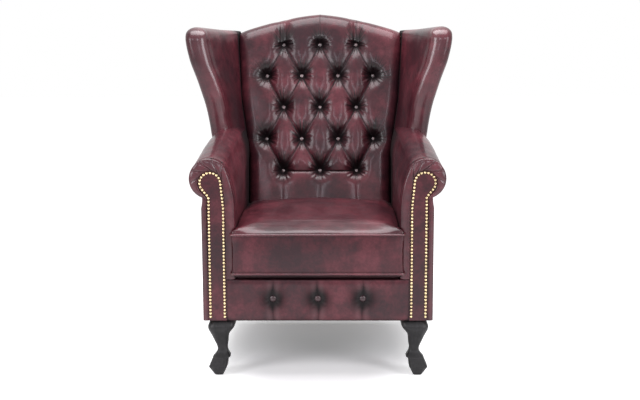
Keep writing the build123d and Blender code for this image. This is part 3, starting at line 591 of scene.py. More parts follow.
def smoothRows(shares, table):
    # monotone cubic through the rows of a table, its first column the place
    table = np.array(table, float)
    x = table[:, 0]
    out = []
    for column in range(1, table.shape[1]):
        y = table[:, column]
        slope = np.diff(y) / np.diff(x)
        tangent = np.zeros(len(x))
        for i in range(1, len(x) - 1):
            if slope[i - 1] * slope[i] > 0:
                tangent[i] = 2 * slope[i - 1] * slope[i] / (slope[i - 1] + slope[i])
        tangent[0], tangent[-1] = slope[0], slope[-1]
        k = np.clip(np.searchsorted(x, shares, side="right") - 1, 0, len(x) - 2)
        h = x[k + 1] - x[k]
        t = (shares - x[k]) / h
        out.append(
            (2 * t**3 - 3 * t**2 + 1) * y[k]
            + (t**3 - 2 * t**2 + t) * h * tangent[k]
            + (-2 * t**3 + 3 * t**2) * y[k + 1]
            + (t**3 - t**2) * h * tangent[k + 1]
        )
    return out


# Inside back: deep buttoned

tuft = {
    "depth": 0.034,  # from a pillow's top to a button
    "pit": 0.064,  # how far a button draws the leather in
    # heights of the pleats
    "folds": {"slant": 0.50, "crest": 0.84, "foot": 0.90, "side": 0.92, "low": 0.74},
    "step": 0.10,  # the pillow above a pleat laps over the one below
    "round": 0.044,
    "sideRound": 0.040,
    "halfWidths": ((0.6, 0.8, 1.033), (0.247, 0.278, 0.293)),  # at three heights
    "crest": ((0.293, 1.033), (0.135, 1.078), (0, 1.1)),  # three points of the crest's arc
    "seamWidth": 0.0036,
    "stain": (0.030, 0.057, 0.025),  # reach of the dark stain sideways, up and down
    "outerStain": 0.048,  # its reach from the outermost buttons to their side
    "rowPitch": 0.109,
    "firstRow": 0.555,
    "pitch": 0.128,
    "outer": 0.187,
    "rows": 5,
    "across": 276,
    "up": 336,
    "crestRound": 0.075,
    "skirt": 0.045,
}
lean = chair["backLean"]
backX, backUp, backOut = (
    np.array((1.0, 0, 0)),
    np.array((0, math.sin(lean), math.cos(lean))),
    np.array((0, -math.cos(lean), math.sin(lean))),
)
valleyOrigin = np.array((0, behind(chair["seatDepth"]), chair["deckTop"])) - tuft["depth"] * backOut


def upBack(z):
    return (z - valleyOrigin[2]) / math.cos(lean)


def backHalf(z):
    return np.interp(z, *tuft["halfWidths"])


crestX, crestZ, crestR = circleOf(*tuft["crest"])


def crestHeight(x):
    return crestZ + np.sqrt(crestR**2 - (np.abs(x) - crestX) ** 2)


buttonRows = []
for row in range(tuft["rows"]):
    places = (-tuft["outer"], -tuft["pitch"] / 2, tuft["pitch"] / 2, tuft["outer"])
    if row % 2 == 0:
        places = (-tuft["pitch"], 0, tuft["pitch"])
    buttonRows.append([(x, upBack(tuft["firstRow"] + tuft["rowPitch"] * row)) for x in places])
buttons = np.array([place for row in buttonRows for place in row])

# pleats: first point, second point, and the kind of fold
pleats = []
for lowRow, highRow in zip(buttonRows[:-1], buttonRows[1:]):
    for a in lowRow:
        for b in highRow:
            if abs(a[0] - b[0]) < 0.07:
                pleats.append((a, b, "slant"))
for x, up in buttonRows[-1]:
    pleats.append(((x, up), (x * 1.06, upBack(1.17)), "crest"))
for x, up in buttonRows[0]:
    pleats.append(((x, up), (x * 1.02, upBack(0.29)), "foot"))
for a, b in zip(buttonRows[0][:-1], buttonRows[0][1:]):
    pleats.append((a, b, "low"))
for row in buttonRows[1::2]:
    for x, up in (row[0], row[-1]):
        pleats.append(((x, up), (math.copysign(0.272, x), up + 0.004), "side"))


def nearestPleat(u, v):
    # distance to the nearest pleat, the share of the height that is left, and how deep that pleat is
    best = np.full(u.shape, 9.0)
    share = np.ones(u.shape)
    fold = np.ones(u.shape)
    for (ax, ay), (bx, by), kind in pleats:
        laps = 0 if kind in ("crest", "foot") else 1
        dx, dy = bx - ax, by - ay
        t = np.clip(((u - ax) * dx + (v - ay) * dy) / (dx * dx + dy * dy), 0, 1)
        # each pleat sags a little from the straight line
        sag = 0.0025 * np.sin(np.pi * t) * laps
        away = np.hypot(u - ax - t * dx, v - ay - t * dy + sag)
        above = np.where((v - ay - t * dy + sag) > 0, 1.0, -1.0) * laps
        # a pleat that runs out to the side or down fades on its way
        fade = {"side": 1 - t, "foot": 1 - 0.45 * t}.get(kind, 1.0)
        level = 1 - (1 - tuft["folds"][kind]) * fade
        roundTop = domed(away, tuft["round"])
        lap = above * tuft["step"] * np.exp(-away / 0.010) * (1 - level) * 2
        share = np.minimum(share, level + lap + (1 - level - lap) * roundTop)
        nearer = away < best
        best = np.where(nearer, away, best)
        fold = np.where(nearer, level, fold)
    return best, share, fold


def nearestButton(u, v):
    best = np.full(u.shape, 9.0)
    turn = np.zeros(u.shape)
    number = np.zeros(u.shape)
    for i, (x, y) in enumerate(buttons):
        away = np.hypot(u - x, v - y)
        nearer = away < best
        best = np.where(nearer, away, best)
        turn = np.where(nearer, np.arctan2(v - y, u - x), turn)
        number = np.where(nearer, i, number)
    return best, turn, number


def tuftHeight(u, v, edge):
    away, share, fold = nearestPleat(u, v)
    near, turn, number = nearestButton(u, v)
    pit = 1 - (1 - np.clip(near / tuft["pit"], 0, 1)) ** 2.9
    height = pit * share * tuft["depth"] * 1.1
    # gathers that run out from each button
    gathers = np.sin(turn * 11 + number * 1.7) + 0.6 * np.sin(turn * 17 + number * 2.9)
    height += 0.0007 * gathers * bell(near - 0.024, 0.014) * np.clip(away / 0.01, 0, 1)
    height *= 0.30 + 0.70 * domed(edge, tuft["sideRound"])
    return height, away, fold, near, turn, number


def stainOf(near, turn, number):
    # 1 at the button, 0.5 at the stain's mean reach, which is longest upwards
    sideways, up, down = tuft["stain"]
    rise = np.sin(turn)
    buttonX = buttons[number.astype(int), 0]
    outermost = np.sign(buttonX) * (np.abs(buttonX) > tuft["outer"] - 0.001)
    sideways = sideways + (tuft["outerStain"] - sideways) * np.clip(np.cos(turn) * outermost, 0, 1)
    reach = sideways + (up - sideways) * np.clip(rise, 0, 1) ** 2.5
    reach += (down - sideways) * np.clip(-rise, 0, 1)
    return np.clip(1.12 - 0.62 * near / reach, 0, 1)


def makeInsideBack():
    across = np.linspace(-1, 1, tuft["across"])
    share = np.linspace(0, 1, tuft["up"]) ** 0.97
    bottomZ = chair["deckTop"] + 0.001
    topZ = crestHeight(across * tuft["crest"][0][0]) - tuft["crestRound"]
    z = bottomZ + share[:, None] * (topZ - bottomZ)[None, :]
    u = across[None, :] * (backHalf(z) - 0.0015)
    topZ = crestHeight(u[-1]) - tuft["crestRound"]
    z = bottomZ + share[:, None] * (topZ - bottomZ)[None, :]
    edge = (1 - np.abs(across))[None, :] * backHalf(z)
    v = upBack(z)
    height, away, fold, near, turn, number = tuftHeight(u, v, edge)
    height *= np.clip((z - bottomZ) / 0.02 + 0.3, 0, 1)
    # the top edge keeps its level as the pillows rise
    level = v - height * math.tan(lean) * share[:, None]
    front = valleyOrigin + u[..., None] * backX + level[..., None] * backUp
    front += height[..., None] * backOut
    front += (ripple(front, 8, 1) * 0.0018 + ripple(front, 21, 2) * 0.0006)[..., None] * backOut
    fan = stainOf(near, turn, number)
    # painted shade: dark along the pleats and where the sides meet the wings
    seam = bell(away, tuft["seamWidth"]) * np.clip((1 - fold) * 3.2, 0, 1)
    shade = np.clip(0.95 * seam + 0.75 * np.exp(-edge / 0.010), 0, 1)
    # painted highlight: a thin lighter line beside each pleat
    paintedSheen = np.clip(0.22 * bell(away - 0.007, 0.004) * (1 - fan) * (1 - fold), 0, 1)
    # over the crest to the rear: one soft curve to the crown and one down the back
    top, dip = front[-1], (tuft["depth"] * 1.1 - height[-1])
    crestTop = crestHeight(top[:, 0])
    crownY = 0.45 * top[:, 1] + 0.55 * behind(rearDepth(crestTop))
    crown = np.stack([top[:, 0], crownY, crestTop], axis=1)
    crown[:, 2] -= 0.0005 + 0.12 * dip
    rear = np.stack([top[:, 0], np.zeros(len(top)), crestTop - 0.050], axis=1)
    rear[:, 1] = behind(rearDepth(rear[:, 2])) + 0.002
    over = []

    def bend(first, firstPull, last, lastPull, count):
        for t in np.linspace(0, 1, count + 1)[1:]:
            a, b, c, d = (1 - t) ** 3, 3 * t * (1 - t) ** 2, 3 * t * t * (1 - t), t**3
            over.append(a * first + b * (first + firstPull) + c * (last + lastPull) + d * last)

    rise = (crown[:, 2] - top[:, 2])[:, None]
    run = (crown[:, 1] - top[:, 1])[:, None]
    ahead = np.array((0, 1.0, 0))
    bend(top, backUp * rise * 0.72, crown, -ahead * run * 0.62, 30)
    back = (rear[:, 1] - crown[:, 1])[:, None]
    down = np.array((0, math.sin(chair["rearLean"]), math.cos(chair["rearLean"])))
    bend(crown, ahead * back * 0.98, rear, down * 0.046, 18)
    over = np.array(over)
    run = np.cumsum(np.linalg.norm(np.diff(np.concatenate([top[None], over]), axis=0), axis=2), axis=0)
    overV = v[-1] + run
    overU = np.broadcast_to(u[-1], overV.shape)
    overNear, overTurn, overNumber = nearestButton(overU, overV)
    overAway, _, overFold = nearestPleat(overU, overV)
    overEdge = np.broadcast_to(edge[-1], overV.shape)
    # painted shade along the pleats over the crest and at the sides
    overShade = 0.95 * bell(overAway, tuft["seamWidth"]) * np.clip((1 - overFold) * 3.2, 0, 1)
    overShade = np.clip(overShade + 0.6 * np.exp(-overEdge / 0.008), 0, 1)
    over += (ripple(over, 11, 3) * 0.0010)[..., None] * np.array((0, 0, 1.0)) * 0.6
    # back under the crest and down behind the cover, so that it is a closed shell
    inner = []
    last = over[-1].copy()
    last[:, 2] -= 0.012
    last[:, 1] -= 0.004
    inner.append(last.copy())
    depthIn = valleyOrigin + upBack(last[:, 2])[:, None] * backUp - 0.010 * backOut
    inner.append(np.stack([last[:, 0], depthIn[:, 1], last[:, 2]], axis=1))
    for down in np.linspace(0.85, 0, 8):
        row = int(round(down * (tuft["up"] - 1)))
        point = valleyOrigin + u[row][:, None] * backX + upBack(z[row])[:, None] * backUp
        point = point - 0.010 * backOut
        # the sides run back as skirts, so that no frame shows between the back and the wings
        point[[0, 1, -2, -1], 1] += tuft["skirt"]
        inner.append(point)
    inner = np.array(inner)
    grid = np.concatenate([front, over, inner])
    blank = np.zeros(inner.shape[:2])
    allTurn = np.concatenate([turn, overTurn, blank])
    allNumber = np.concatenate([number, overNumber, blank])
    spokes = np.stack([np.cos(allTurn), np.sin(allTurn), allNumber * 0.37], axis=2)
    values = {
        "shade": np.concatenate([shade, overShade, blank]),
        "paintedSheen": np.concatenate([paintedSheen, np.zeros(over.shape[:2]), blank]),
        "fan": np.concatenate([fan, stainOf(overNear, overTurn, overNumber), blank]),
    }
    directions = {"spoke": spokes}
    return gridMesh("insideBack", grid, values, loopRows=True, capColumns=True, directions=directions)


dress(makeInsideBack(), finishes["leather"], "chair", "oxblood_leather", "inside_back", fill=0.8)
print("inside back made")


# Scroll arms

arm = {
    "loopCentre": (0.319, 0.588),
    "loopRadius": 0.037,
    "scrollCentre": (0.322, 0.600),
    "scrollRadius": 0.057,
    "scrollStart": 141,
    "scrollEnd": -77,
    "bulge": 0.006,
    "neckHeight": 0.520,
    "neckRise": 0.080,
    "rise": 0.066,
    "taper": 0.022,
    "shrink": 0.011,
    "plump": 0.003,  # the padding stands this far proud of its block
    "length": 0.640,
    "stop": 0.575,  # where the arm meets the back post
    "outerX": 0.279,  # outer face of the cover below the scroll
}
armRows = [(0, 0, 0, 0), (0.32, 0.5, 0.36, 0.36), (0.66, 0.91, 0.82, 0.82), (1, 1, 1, 1)]


def scrollOutline(riseShare, taperShare, shrinkShare, counts=(14, 76)):
    # from the neck up, over and round to the end under the scroll
    radius = arm["scrollRadius"] - arm["shrink"] * shrinkShare
    centre = (
        arm["scrollCentre"][0] - arm["taper"] * taperShare,
        arm["scrollCentre"][1] + arm["rise"] * riseShare + arm["scrollRadius"] - radius,
    )
    neck = (chair["halfSeat"], arm["neckHeight"] + arm["neckRise"] * riseShare)
    circle = arcPoints(centre, radius + arm["plump"], arm["scrollStart"], arm["scrollEnd"], counts[1])
    start = circle[0]
    chord = math.hypot(start[0] - neck[0], start[1] - neck[1])
    t = np.linspace(0, 1, counts[0], endpoint=False)
    straight = np.array(neck) + t[:, None] * (start - np.array(neck))
    normal = np.array((-(start[1] - neck[1]), start[0] - neck[0])) / chord
    curved = straight + (4 * t * (1 - t) * arm["bulge"])[:, None] * normal
    return curved, circle


def makeArmCover():
    depths = np.linspace(chair["postBack"], arm["stop"], 90)
    shares = (depths - chair["postBack"]) / arm["length"]
    rises, tapers, shrinks = smoothRows(shares, armRows)
    rows, shadeRows, foot = [], [], chair["coverFoot"]
    for depth, a, b, c in zip(depths, rises, tapers, shrinks):
        curved, circle = scrollOutline(a, b, c)
        inside = linePoints((chair["halfSeat"], foot), curved[0], 34)[:-1]
        end = circle[-1]
        under = linePoints(end, (arm["outerX"], end[1]), 8)[1:]
        down = linePoints((arm["outerX"], end[1]), (arm["outerX"], foot), 10)[1:]
        ring = np.concatenate([inside, curved, circle, under, down])
        rows.append(np.stack([ring[:, 0], np.full(len(ring), behind(depth)), ring[:, 1]], axis=1))
        # painted shade: darker low on the inner face beside the cushion, at the seam against the back
        # post, and on the inner face towards the rear
        shade = np.zeros(len(ring))
        shade[: len(inside)] = np.clip((0.50 - inside[:, 1]) / 0.10, 0, 0.75)
        seam = math.exp(-(depth - chair["postBack"]) / 0.010) * 0.7
        rear = 1 / (1 + math.exp(-(depth - 0.40) / 0.03))
        shade = np.maximum(shade, seam)
        shade = np.where(ring[:, 0] < 0.262, np.maximum(shade, rear * 0.75), shade)
        shadeRows.append(shade)
    grid = np.array(rows)
    shade = np.array(shadeRows)
    # slack leather: long soft waves, and gathers that run back from the front roll
    count = grid.shape[1]
    along = (grid[..., 1] - behind(chair["postBack"])) / (arm["stop"] - chair["postBack"])
    wave = ripple(grid * np.array((1, 0.55, 1)), 13, 4) * 0.0016 + ripple(grid, 31, 5) * 0.0006
    lines = np.sin(np.arange(count) * 0.42)[None, :] * np.exp(-along / 0.10) * 0.0009
    free = ramp(grid[..., 2], 0.50, 0.05)  # the faces beside the cushion stay flat
    fill = np.sin(np.pi * np.clip(along * 1.15, 0, 1)) * 0.002
    seamDip = -0.004 * np.exp(-along / 0.012)
    grid = grid + outwardOf(grid, 0, 2) * ((wave + lines + fill + seamDip) * free)[..., None]
    return gridMesh("armCoverRight", grid, {"shade": shade}, loopColumns=True, capRows=True)


dressPair(makeArmCover(), "armCoverLeft", "arm_cover", 0.85)
print("arm covers made")


# Facing outline, inset from its edge, from the foot of its inner side to the foot of its outer side
def facingOutline(inset, bottom, counts=(36, 12, 64, 16, 34)):
    cx, cz = arm["loopCentre"]
    radius = arm["loopRadius"] - inset
    end = math.radians(-40)
    loopEnd = (cx + radius * math.cos(end), cz + radius * math.sin(end))
    neck = cz - 0.042
    innerX, outerX = chair["facingInner"] + inset, chair["facingOuter"] - inset
    neckX = outerX + (loopEnd[0] - chair["facingOuter"]) / 42
    return [
        linePoints((innerX, bottom), (innerX, cz - 2 * arm["loopRadius"]), counts[0])[:-1],
        linePoints((innerX, cz - 2 * arm["loopRadius"]), (cx - radius, cz), counts[1])[:-1],
        arcPoints((cx, cz), radius, 180, -40, counts[2])[:-1],
        linePoints(loopEnd, (neckX, neck), counts[3])[:-1],
        linePoints((neckX, neck), (outerX, bottom), counts[4]),
    ]


roll = {
    "proud": 0.009,
    "seamDepth": -0.0005,
    "pleats": (128, 96, 62, 26, -12),  # their angles round the scroll
    "pleatDepth": 0.0042,
    "pleatWidth": 0.0028,
    "pleatsAbove": 0.55,
}


def makeFrontRoll():
    bottom = chair["legHeight"]
    curved, circle = scrollOutline(0, 0, 0, counts=(12, 100))
    end = circle[-1]
    neckZ = arm["loopCentre"][1] - 2 * arm["loopRadius"]
    # the band's inner line follows the facing and its outer line the scroll, point for point
    inner = facingOutline(0.0, chair["borderTop"], counts=(60, 13, 101, 16, 50))
    seatSide = chair["halfSeat"]
    outerInside = linePoints((seatSide, chair["borderTop"]), (seatSide, neckZ), 60)[:-1]
    outerNeck = linePoints((seatSide, neckZ), curved[0], 3)[:-1]
    outerRise = np.concatenate([outerNeck, curved])
    pick = np.linspace(0, len(outerRise) - 1, 12)
    outerRise = pointsAt(pick, range(len(outerRise)), outerRise)
    sideX = chair["outerHalf"] + arm["plump"]
    shoulder, corner = (sideX - 0.004, end[1] - 0.010), (sideX, end[1] - 0.030)
    outerTurn = [linePoints(end, shoulder, 6)[:-1], linePoints(shoulder, corner, 10)]
    outerFall = linePoints(corner, (sideX, bottom), len(inner[4]) + 1)[1:]
    innerFall = inner[4].copy()
    innerFall[:, 1] = np.linspace(inner[4][0][1], bottom, len(innerFall))
    outer = np.concatenate([outerInside, outerRise, circle, *outerTurn, outerFall])
    innerAll = np.concatenate([*inner[:4], innerFall])
    count = len(outer)
    width = np.linalg.norm(outer - innerAll, axis=1)
    fromCentre = outer - np.array(arm["scrollCentre"])
    angles = np.degrees(np.arctan2(fromCentre[:, 1], fromCentre[:, 0]))
    onScroll = outer[:, 1] > roll["pleatsAbove"]
    crease = np.zeros(count)
    for pleat in roll["pleats"]:
        away = np.abs(angles - pleat) * math.pi / 180 * arm["scrollRadius"]
        crease = np.maximum(crease, np.exp(-away / roll["pleatWidth"]) * onScroll)
    rows, shades, paintedSheens = [], [], []

    def addRow(line, depth, shade, paintedSheen):
        rows.append(np.stack([line[:, 0], behind(0) + depth, line[:, 1]], axis=1))
        shades.append(shade)
        paintedSheens.append(np.full(count, paintedSheen))

    # across the band: up the outer side, over the front, down to the nails
    # painted shade in the pleat creases, on the hidden rows and down by the nails; painted sheen along
    # the crown
    for depth, dark in ((chair["postBack"], 0.7), (0.022, 0.15), (0.012, 0.15)):
        addRow(outer, np.full(count, depth), 0.8 * crease + dark, 0)
    plump = np.clip(width / 0.028, 0.35, 1.15)
    for t in np.linspace(0, 1, 22):
        # a quarter turn, a flat crown and a tighter turn down to the facing
        q = 0.5 - 0.5 * math.cos(math.pi * t)
        arch = math.sin(math.pi * t)
        base = 0.003 * (1 - t) + roll["seamDepth"] * t
        depth = base - roll["proud"] * arch**0.55 * plump + crease * roll["pleatDepth"] * arch**0.5
        dark = 0.75 * crease * (0.5 + 0.5 * t) + math.exp(-(1 - t) / 0.06) * 0.95
        addRow(outer + (innerAll - outer) * q, depth, np.clip(dark, 0, 1), 0.35 * bell(t - 0.45, 0.2))
    addRow(innerAll, np.full(count, chair["postBack"]), np.full(count, 0.9), 0)
    grid = np.array(rows)
    front = np.zeros(grid.shape[:2])
    front[3:-1] = 1
    grid[..., 1] += (ripple(grid, 28, 6) * 0.0009 + ripple(grid, 60, 7) * 0.0003) * front
    values = {"shade": np.array(shades), "paintedSheen": np.array(paintedSheens)}
    return gridMesh("frontRollRight", grid, values, loopRows=True, capColumns=True)


dressPair(makeFrontRoll(), "frontRollLeft", "front_roll", 0.9)
print("front rolls made")


# Wings

wing = {
    "bottom": 0.668,
    "height": 0.383,
    "rearDrop": 0.012,  # the top edge falls towards the back
    "front": 0.350,
    "setback": 0.075,
    "flare": 0.090,
    "radius": 0.026,
    "rearHalf": 0.341,
    "corner": 0.044,  # rounding of the top front corner
    "topRoll": 0.025,
    "full": 1.7,
    "swell": 0.010,
    "seamSet": 0.008,  # how far behind the face of the back the wing meets it
    "tuck": 0.004,  # how far the wing reaches in beside the back
}
wingRows = [
    (0, 0.12, 0.55, 0.92),
    (0.13, 0.2, 0.5, 0.92),
    (0.3, 0.32, 0.36, 0.96),
    (0.51, 0.56, 0.16, 1),
    (0.72, 0.86, 0, 1),
    (0.88, 1.0, 0, 1),
    (1, 1.03, 0.1, 0.95),
]
wingCounts = (26, 34, 40, 10)


def wingRing(share, flareShare, setbackShare, radiusShare):
    # one level of the wing: outside from the rear, round the nose, inside to the seam, then rearwards
    z = wing["bottom"] + wing["height"] * share
    cornerStart = 1 - wing["corner"] / wing["height"]
    rounded = max(0.0, (share - cornerStart) / (1 - cornerStart))
    recess = wing["corner"] * (1 - math.sqrt(max(0.0, 1 - rounded**2)))
    radius = wing["radius"] * radiusShare
    inner = float(backHalf(z)) - wing["tuck"]
    rear = behind(rearDepth(z))
    middle = np.array(((wing["rearHalf"] + inner) / 2, rear))
    front = behind(wing["front"] + wing["setback"] * setbackShare)
    outerX = chair["outerHalf"] + wing["flare"] * flareShare
    centre = np.array((outerX - radius, front + radius))
    along = (middle - centre) / np.linalg.norm(middle - centre)
    centre = centre + along * recess
    faceDepth = chair["seatDepth"] + math.tan(lean) * (z - chair["deckTop"])
    seam = (inner, behind(faceDepth + wing["seamSet"]))
    nose = arcPoints(centre, radius, 0, -180, wingCounts[1])
    # the roll is fuller towards the inside
    inward = np.clip(centre[0] - nose[:, 0], 0, None)
    nose[:, 0] -= (wing["full"] - 1) * inward
    outside = linePoints((wing["rearHalf"], rear), nose[0], wingCounts[0])[:-1]
    inside = linePoints(nose[-1], seam, wingCounts[2])[1:]
    t = np.linspace(0, 1, len(inside))
    bulge = np.sin(np.pi * t**0.52) * (1 - 0.45 * t)
    fullness = 0.35 + 0.65 * math.sin(math.pi * min(1, share * 1.02)) ** 0.7
    inside[:, 0] -= wing["swell"] * bulge * fullness
    hidden = linePoints(seam, (inner, rear), wingCounts[3])[1:]
    ring = np.concatenate([outside, nose, inside, hidden])
    back = np.clip((ring[:, 1] - centre[1]) / (middle[1] - centre[1]), 0, 1)
    line = centre + back[:, None] * (middle - centre)
    # the top edge is a roll, thick at the front and tight at the back
    rollStart = 1 - (wing["topRoll"] - 0.017 * back) / wing["height"]
    rolled = np.clip((share - rollStart) / (1 - rollStart), 0, 1)
    thick = np.maximum(0.03, np.sqrt(1 - rolled**2))
    # beside the seam the inside stays full to the top, so that it closes against the back
    closed = ramp(back, 0.50, 0.35) * (np.arange(len(ring)) >= len(outside) + len(nose))
    thick += (1 - thick) * closed
    ring = line + (ring - line) * thick[:, None]
    level = z - wing["rearDrop"] * back * share
    return np.column_stack([ring, level])


def makeWing():
    turns = np.linspace(0, math.pi / 2, 30)[1:]
    shares = np.concatenate([np.linspace(0, 0.88, 74), 0.88 + 0.12 * np.sin(turns)])
    flares, setbacks, radii = smoothRows(shares, wingRows)
    grid = np.array([wingRing(*row) for row in zip(shares, flares, setbacks, radii)])
    first, second, third = wingCounts[:3]
    noseStart, insideStart = first - 1, first - 1 + second
    seamAt = insideStart + third - 1
    seamPlace = grid[:, seamAt - 1: seamAt, :2]
    seamAway = np.linalg.norm(grid[..., :2] - seamPlace, axis=2)
    columns = np.arange(grid.shape[1])[None, :]
    # painted shade: dark at the seam with the back, along the foot at the arm, and a little on the
    # outside
    nearSeam = 0.95 * np.exp(-seamAway / 0.007) + 0.35 * np.exp(-seamAway / 0.03)
    shade = np.where(columns >= insideStart, nearSeam, 0.0)
    shade = np.where(columns >= seamAt, 0.95, shade)
    shade = np.maximum(shade, 0.85 * np.exp(-shares / 0.018)[:, None])
    shade[:, :noseStart] = np.maximum(shade[:, :noseStart], 0.15)
    # painted highlight: a lighter band round the inner side of the nose
    turn = (columns - noseStart) / second
    paintedSheen = np.where((turn > 0) & (turn < 1.5), 0.55 * bell(turn - 0.74, 0.26), 0.0)
    paintedSheen = paintedSheen * np.ones_like(shade)
    wave = ripple(grid, 9, 8) * 0.0022 + ripple(grid, 24, 9) * 0.0007
    # gathers where the leather is drawn down to the arm
    pulled = np.sin(columns * 0.55) * np.exp(-shares / 0.06)[:, None] * 0.0007 * (columns > insideStart)
    fade = (np.clip(shares / 0.12, 0, 1) * ramp(1.02, shares, 0.1))[:, None]
    fade = fade * np.clip(seamAway / 0.05, 0, 1)
    outsideMask = np.where(columns < first, 0.15, 1.0)  # the outer panel lies here
    grid = grid + outwardOf(grid, 1, 0) * ((wave * fade + pulled) * outsideMask)[..., None]
    values = {"shade": np.clip(shade, 0, 1), "paintedSheen": paintedSheen}
    return gridMesh("wingCoverRight", grid, values, loopColumns=True, capRows=True)


dressPair(makeWing(), "wingCoverLeft", "wing_cover", 0.8)
print("wings made")


# Front border with its three buttons

border = {
    "pitch": 0.135,
    "buttonHeight": 0.237,
    "pad": 0.008,
    "back": 0.004,
    "pit": 0.040,
    "pleatRound": 0.030,
    "edgeRound": 0.020,
    "endRound": 0.014,
}
borderPlaces = (-border["pitch"], 0, border["pitch"])


def makeBorder():
    xs = np.linspace(-chair["facingInner"] + 0.0005, chair["facingInner"] - 0.0005, 236)
    zs = np.linspace(chair["legHeight"], chair["borderTop"] - 0.004, 62)
    x, z = np.meshgrid(xs, zs)
    pleat = np.full(x.shape, 9.0)
    near = np.full(x.shape, 9.0)
    turn = np.zeros(x.shape)
    for place in borderPlaces:
        bow = 0.0025 * np.sin((z - chair["legHeight"]) * 40 + place * 30)
        pleat = np.minimum(pleat, np.abs(x - place - bow))
        away = np.hypot(x - place, z - border["buttonHeight"])
        turn = np.where(away < near, np.arctan2(z - border["buttonHeight"], x - place), turn)
        near = np.minimum(near, away)
    ends = chair["facingInner"] - np.abs(x)
    edge = np.minimum(z - chair["legHeight"], chair["borderTop"] - z)
    roundTop = domed(pleat, border["pleatRound"])
    pit = 1 - (1 - np.clip(near / border["pit"], 0, 1)) ** 2
    rim = domed(edge, border["edgeRound"])
    side = domed(ends, border["endRound"])
    fold = np.abs(z - border["buttonHeight"]) / 0.06
    base = 0.72 + 0.2 * np.clip(fold, 0, 1)
    height = border["pad"] * pit * (base + (1 - base) * roundTop)
    height *= (0.35 + 0.65 * rim) * (0.5 + 0.5 * side)
    height += 0.0004 * np.sin(turn * 10) * bell(near - 0.020, 0.010)
    # darker round each button; painted shade in the pleats, along the bottom edge, at the ends and on
    # the hidden rows
    shade = (
        0.62 * bell(near, 0.040)
        + 0.30 * np.exp(-pleat / 0.0035)
        + 0.35 * bell(pleat, 0.05) * bell(z - border["buttonHeight"], 0.045)
        + 0.6 * np.exp(-(z - chair["legHeight"]) / 0.006)
        + 0.7 * np.exp(-ends / 0.006)
    )
    shade = np.clip(shade, 0, 1)
    front = np.stack([x, behind(0) - height, z], axis=2)
    front[..., 1] += ripple(front, 17, 10) * 0.0010 * rim
    # painted highlight: a lighter band beside each pleat
    paintedSheen = 0.3 * bell(pleat - 0.012, 0.008) * pit
    top = []
    for angle in np.linspace(0.2, math.pi / 2, 6):
        row = front[-1].copy()
        row[:, 1] += (behind(border["back"]) - row[:, 1]) * (1 - math.cos(angle))
        row[:, 2] += 0.004 * math.sin(angle)
        top.append(row)
    rear = []
    for level in np.linspace(chair["borderTop"] - 0.001, chair["legHeight"], 4):
        row = front[0].copy()
        row[:, 1] = behind(border["back"])
        row[:, 2] = level
        rear.append(row)
    grid = np.concatenate([front, np.array(top), np.array(rear)])
    extra = len(top) + len(rear)
    shade = np.concatenate([shade, np.full((extra, x.shape[1]), 0.5)])
    paintedSheen = np.concatenate([paintedSheen, np.zeros((extra, x.shape[1]))])
    return gridMesh("frontBorder", grid, {"shade": shade, "paintedSheen": paintedSheen}, loopRows=True, capColumns=True)


dress(makeBorder(), finishes["leather"], "chair", "oxblood_leather", "front_border", fill=0.7)
print("border made")


# Seat cushion

cushion = {
    "half": 0.242,
    "earHalf": 0.259,
    "front": -0.0235,
    "earBack": -0.0145,
    "bottomSeam": 0.3165,
    "topSeam": 0.4350,
    "under": 0.3023,
    "frontCrown": 0.022,  # rise of the top just behind the front seam
    "sideCrown": 0.031,
    "crown": 0.047,
    "cornerEase": 0.0022,
    "fillingCrown": 0.042,
    "fillingSide": 0.022,
    "backGap": 0.005,
    "corner": 0.008,
    "piping": 0.0036,
    "clear": {"body": 0.2448, "ear": 0.2605, "front": -0.0335, "piping": 0.2456},  # farthest reach
    "voxel": 0.005,
    "pressure": 3.0,
    "mass": 0.4,
    "stiffness": {"tension": 12, "compression": 12, "shear": 6, "bending": 0.8},
    "frames": 20,
    "cap": 0.003,  # the most that the simulation may move a point
    "evenings": 40,
    "overFilling": 0.0015,
}


def cushionRear(z):
    gap = cushion["backGap"] / math.cos(lean)
    return chair["seatDepth"] + math.tan(lean) * (z - chair["deckTop"]) - gap


def cushionOutline(z, count):
    # seam line seen from above, counted evenly along its length
    half, ear, corner = cushion["half"], cushion["earHalf"], cushion["corner"]
    front, earBack, rear = cushion["front"], cushion["earBack"], cushionRear(z)
    right = [(0, front), (ear - corner, front), (ear - 0.003, front + 0.0025), (ear, front + 0.006)]
    right += [(ear - 0.003, earBack), (half + 0.002, earBack + 0.001), (half, earBack + 0.006)]
    right += [(half, rear - 0.02), (half - 0.002, rear - 0.002), (half - 0.02, rear), (0, rear)]
    points = right + [(-x, y) for x, y in reversed(right[1:-1])]
    points = np.array(points + [points[0]])
    steps = lengthsAlong(points)
    return pointsAt(np.linspace(0, steps[-1], count, endpoint=False), steps, points)


def topRise(x, depth):
    # height of the cushion's top over its seam: lower at the front and beside the arms
    back = ramp(depth, cushion["front"], 0.34)
    middle = cushion["crown"] - (cushion["crown"] - cushion["sideCrown"]) * (x / cushion["half"]) ** 2
    return cushion["frontCrown"] + (middle - cushion["frontCrown"]) * (1 - (1 - back) ** 1.8)


def fillingTop(x, depth):
    # top of the foam inside
    rear = cushionRear(cushion["topSeam"])
    middle, halfDepth = 0.5 * (rear + cushion["front"]), 0.5 * (rear - cushion["front"])
    across = np.clip(1 - (x / cushion["half"]) ** 2, 0, 1)
    crown = cushion["fillingSide"] + (cushion["fillingCrown"] - cushion["fillingSide"]) * across
    return cushion["topSeam"] + crown * np.clip(1 - ((depth - middle) / halfDepth) ** 2, 0, 1)


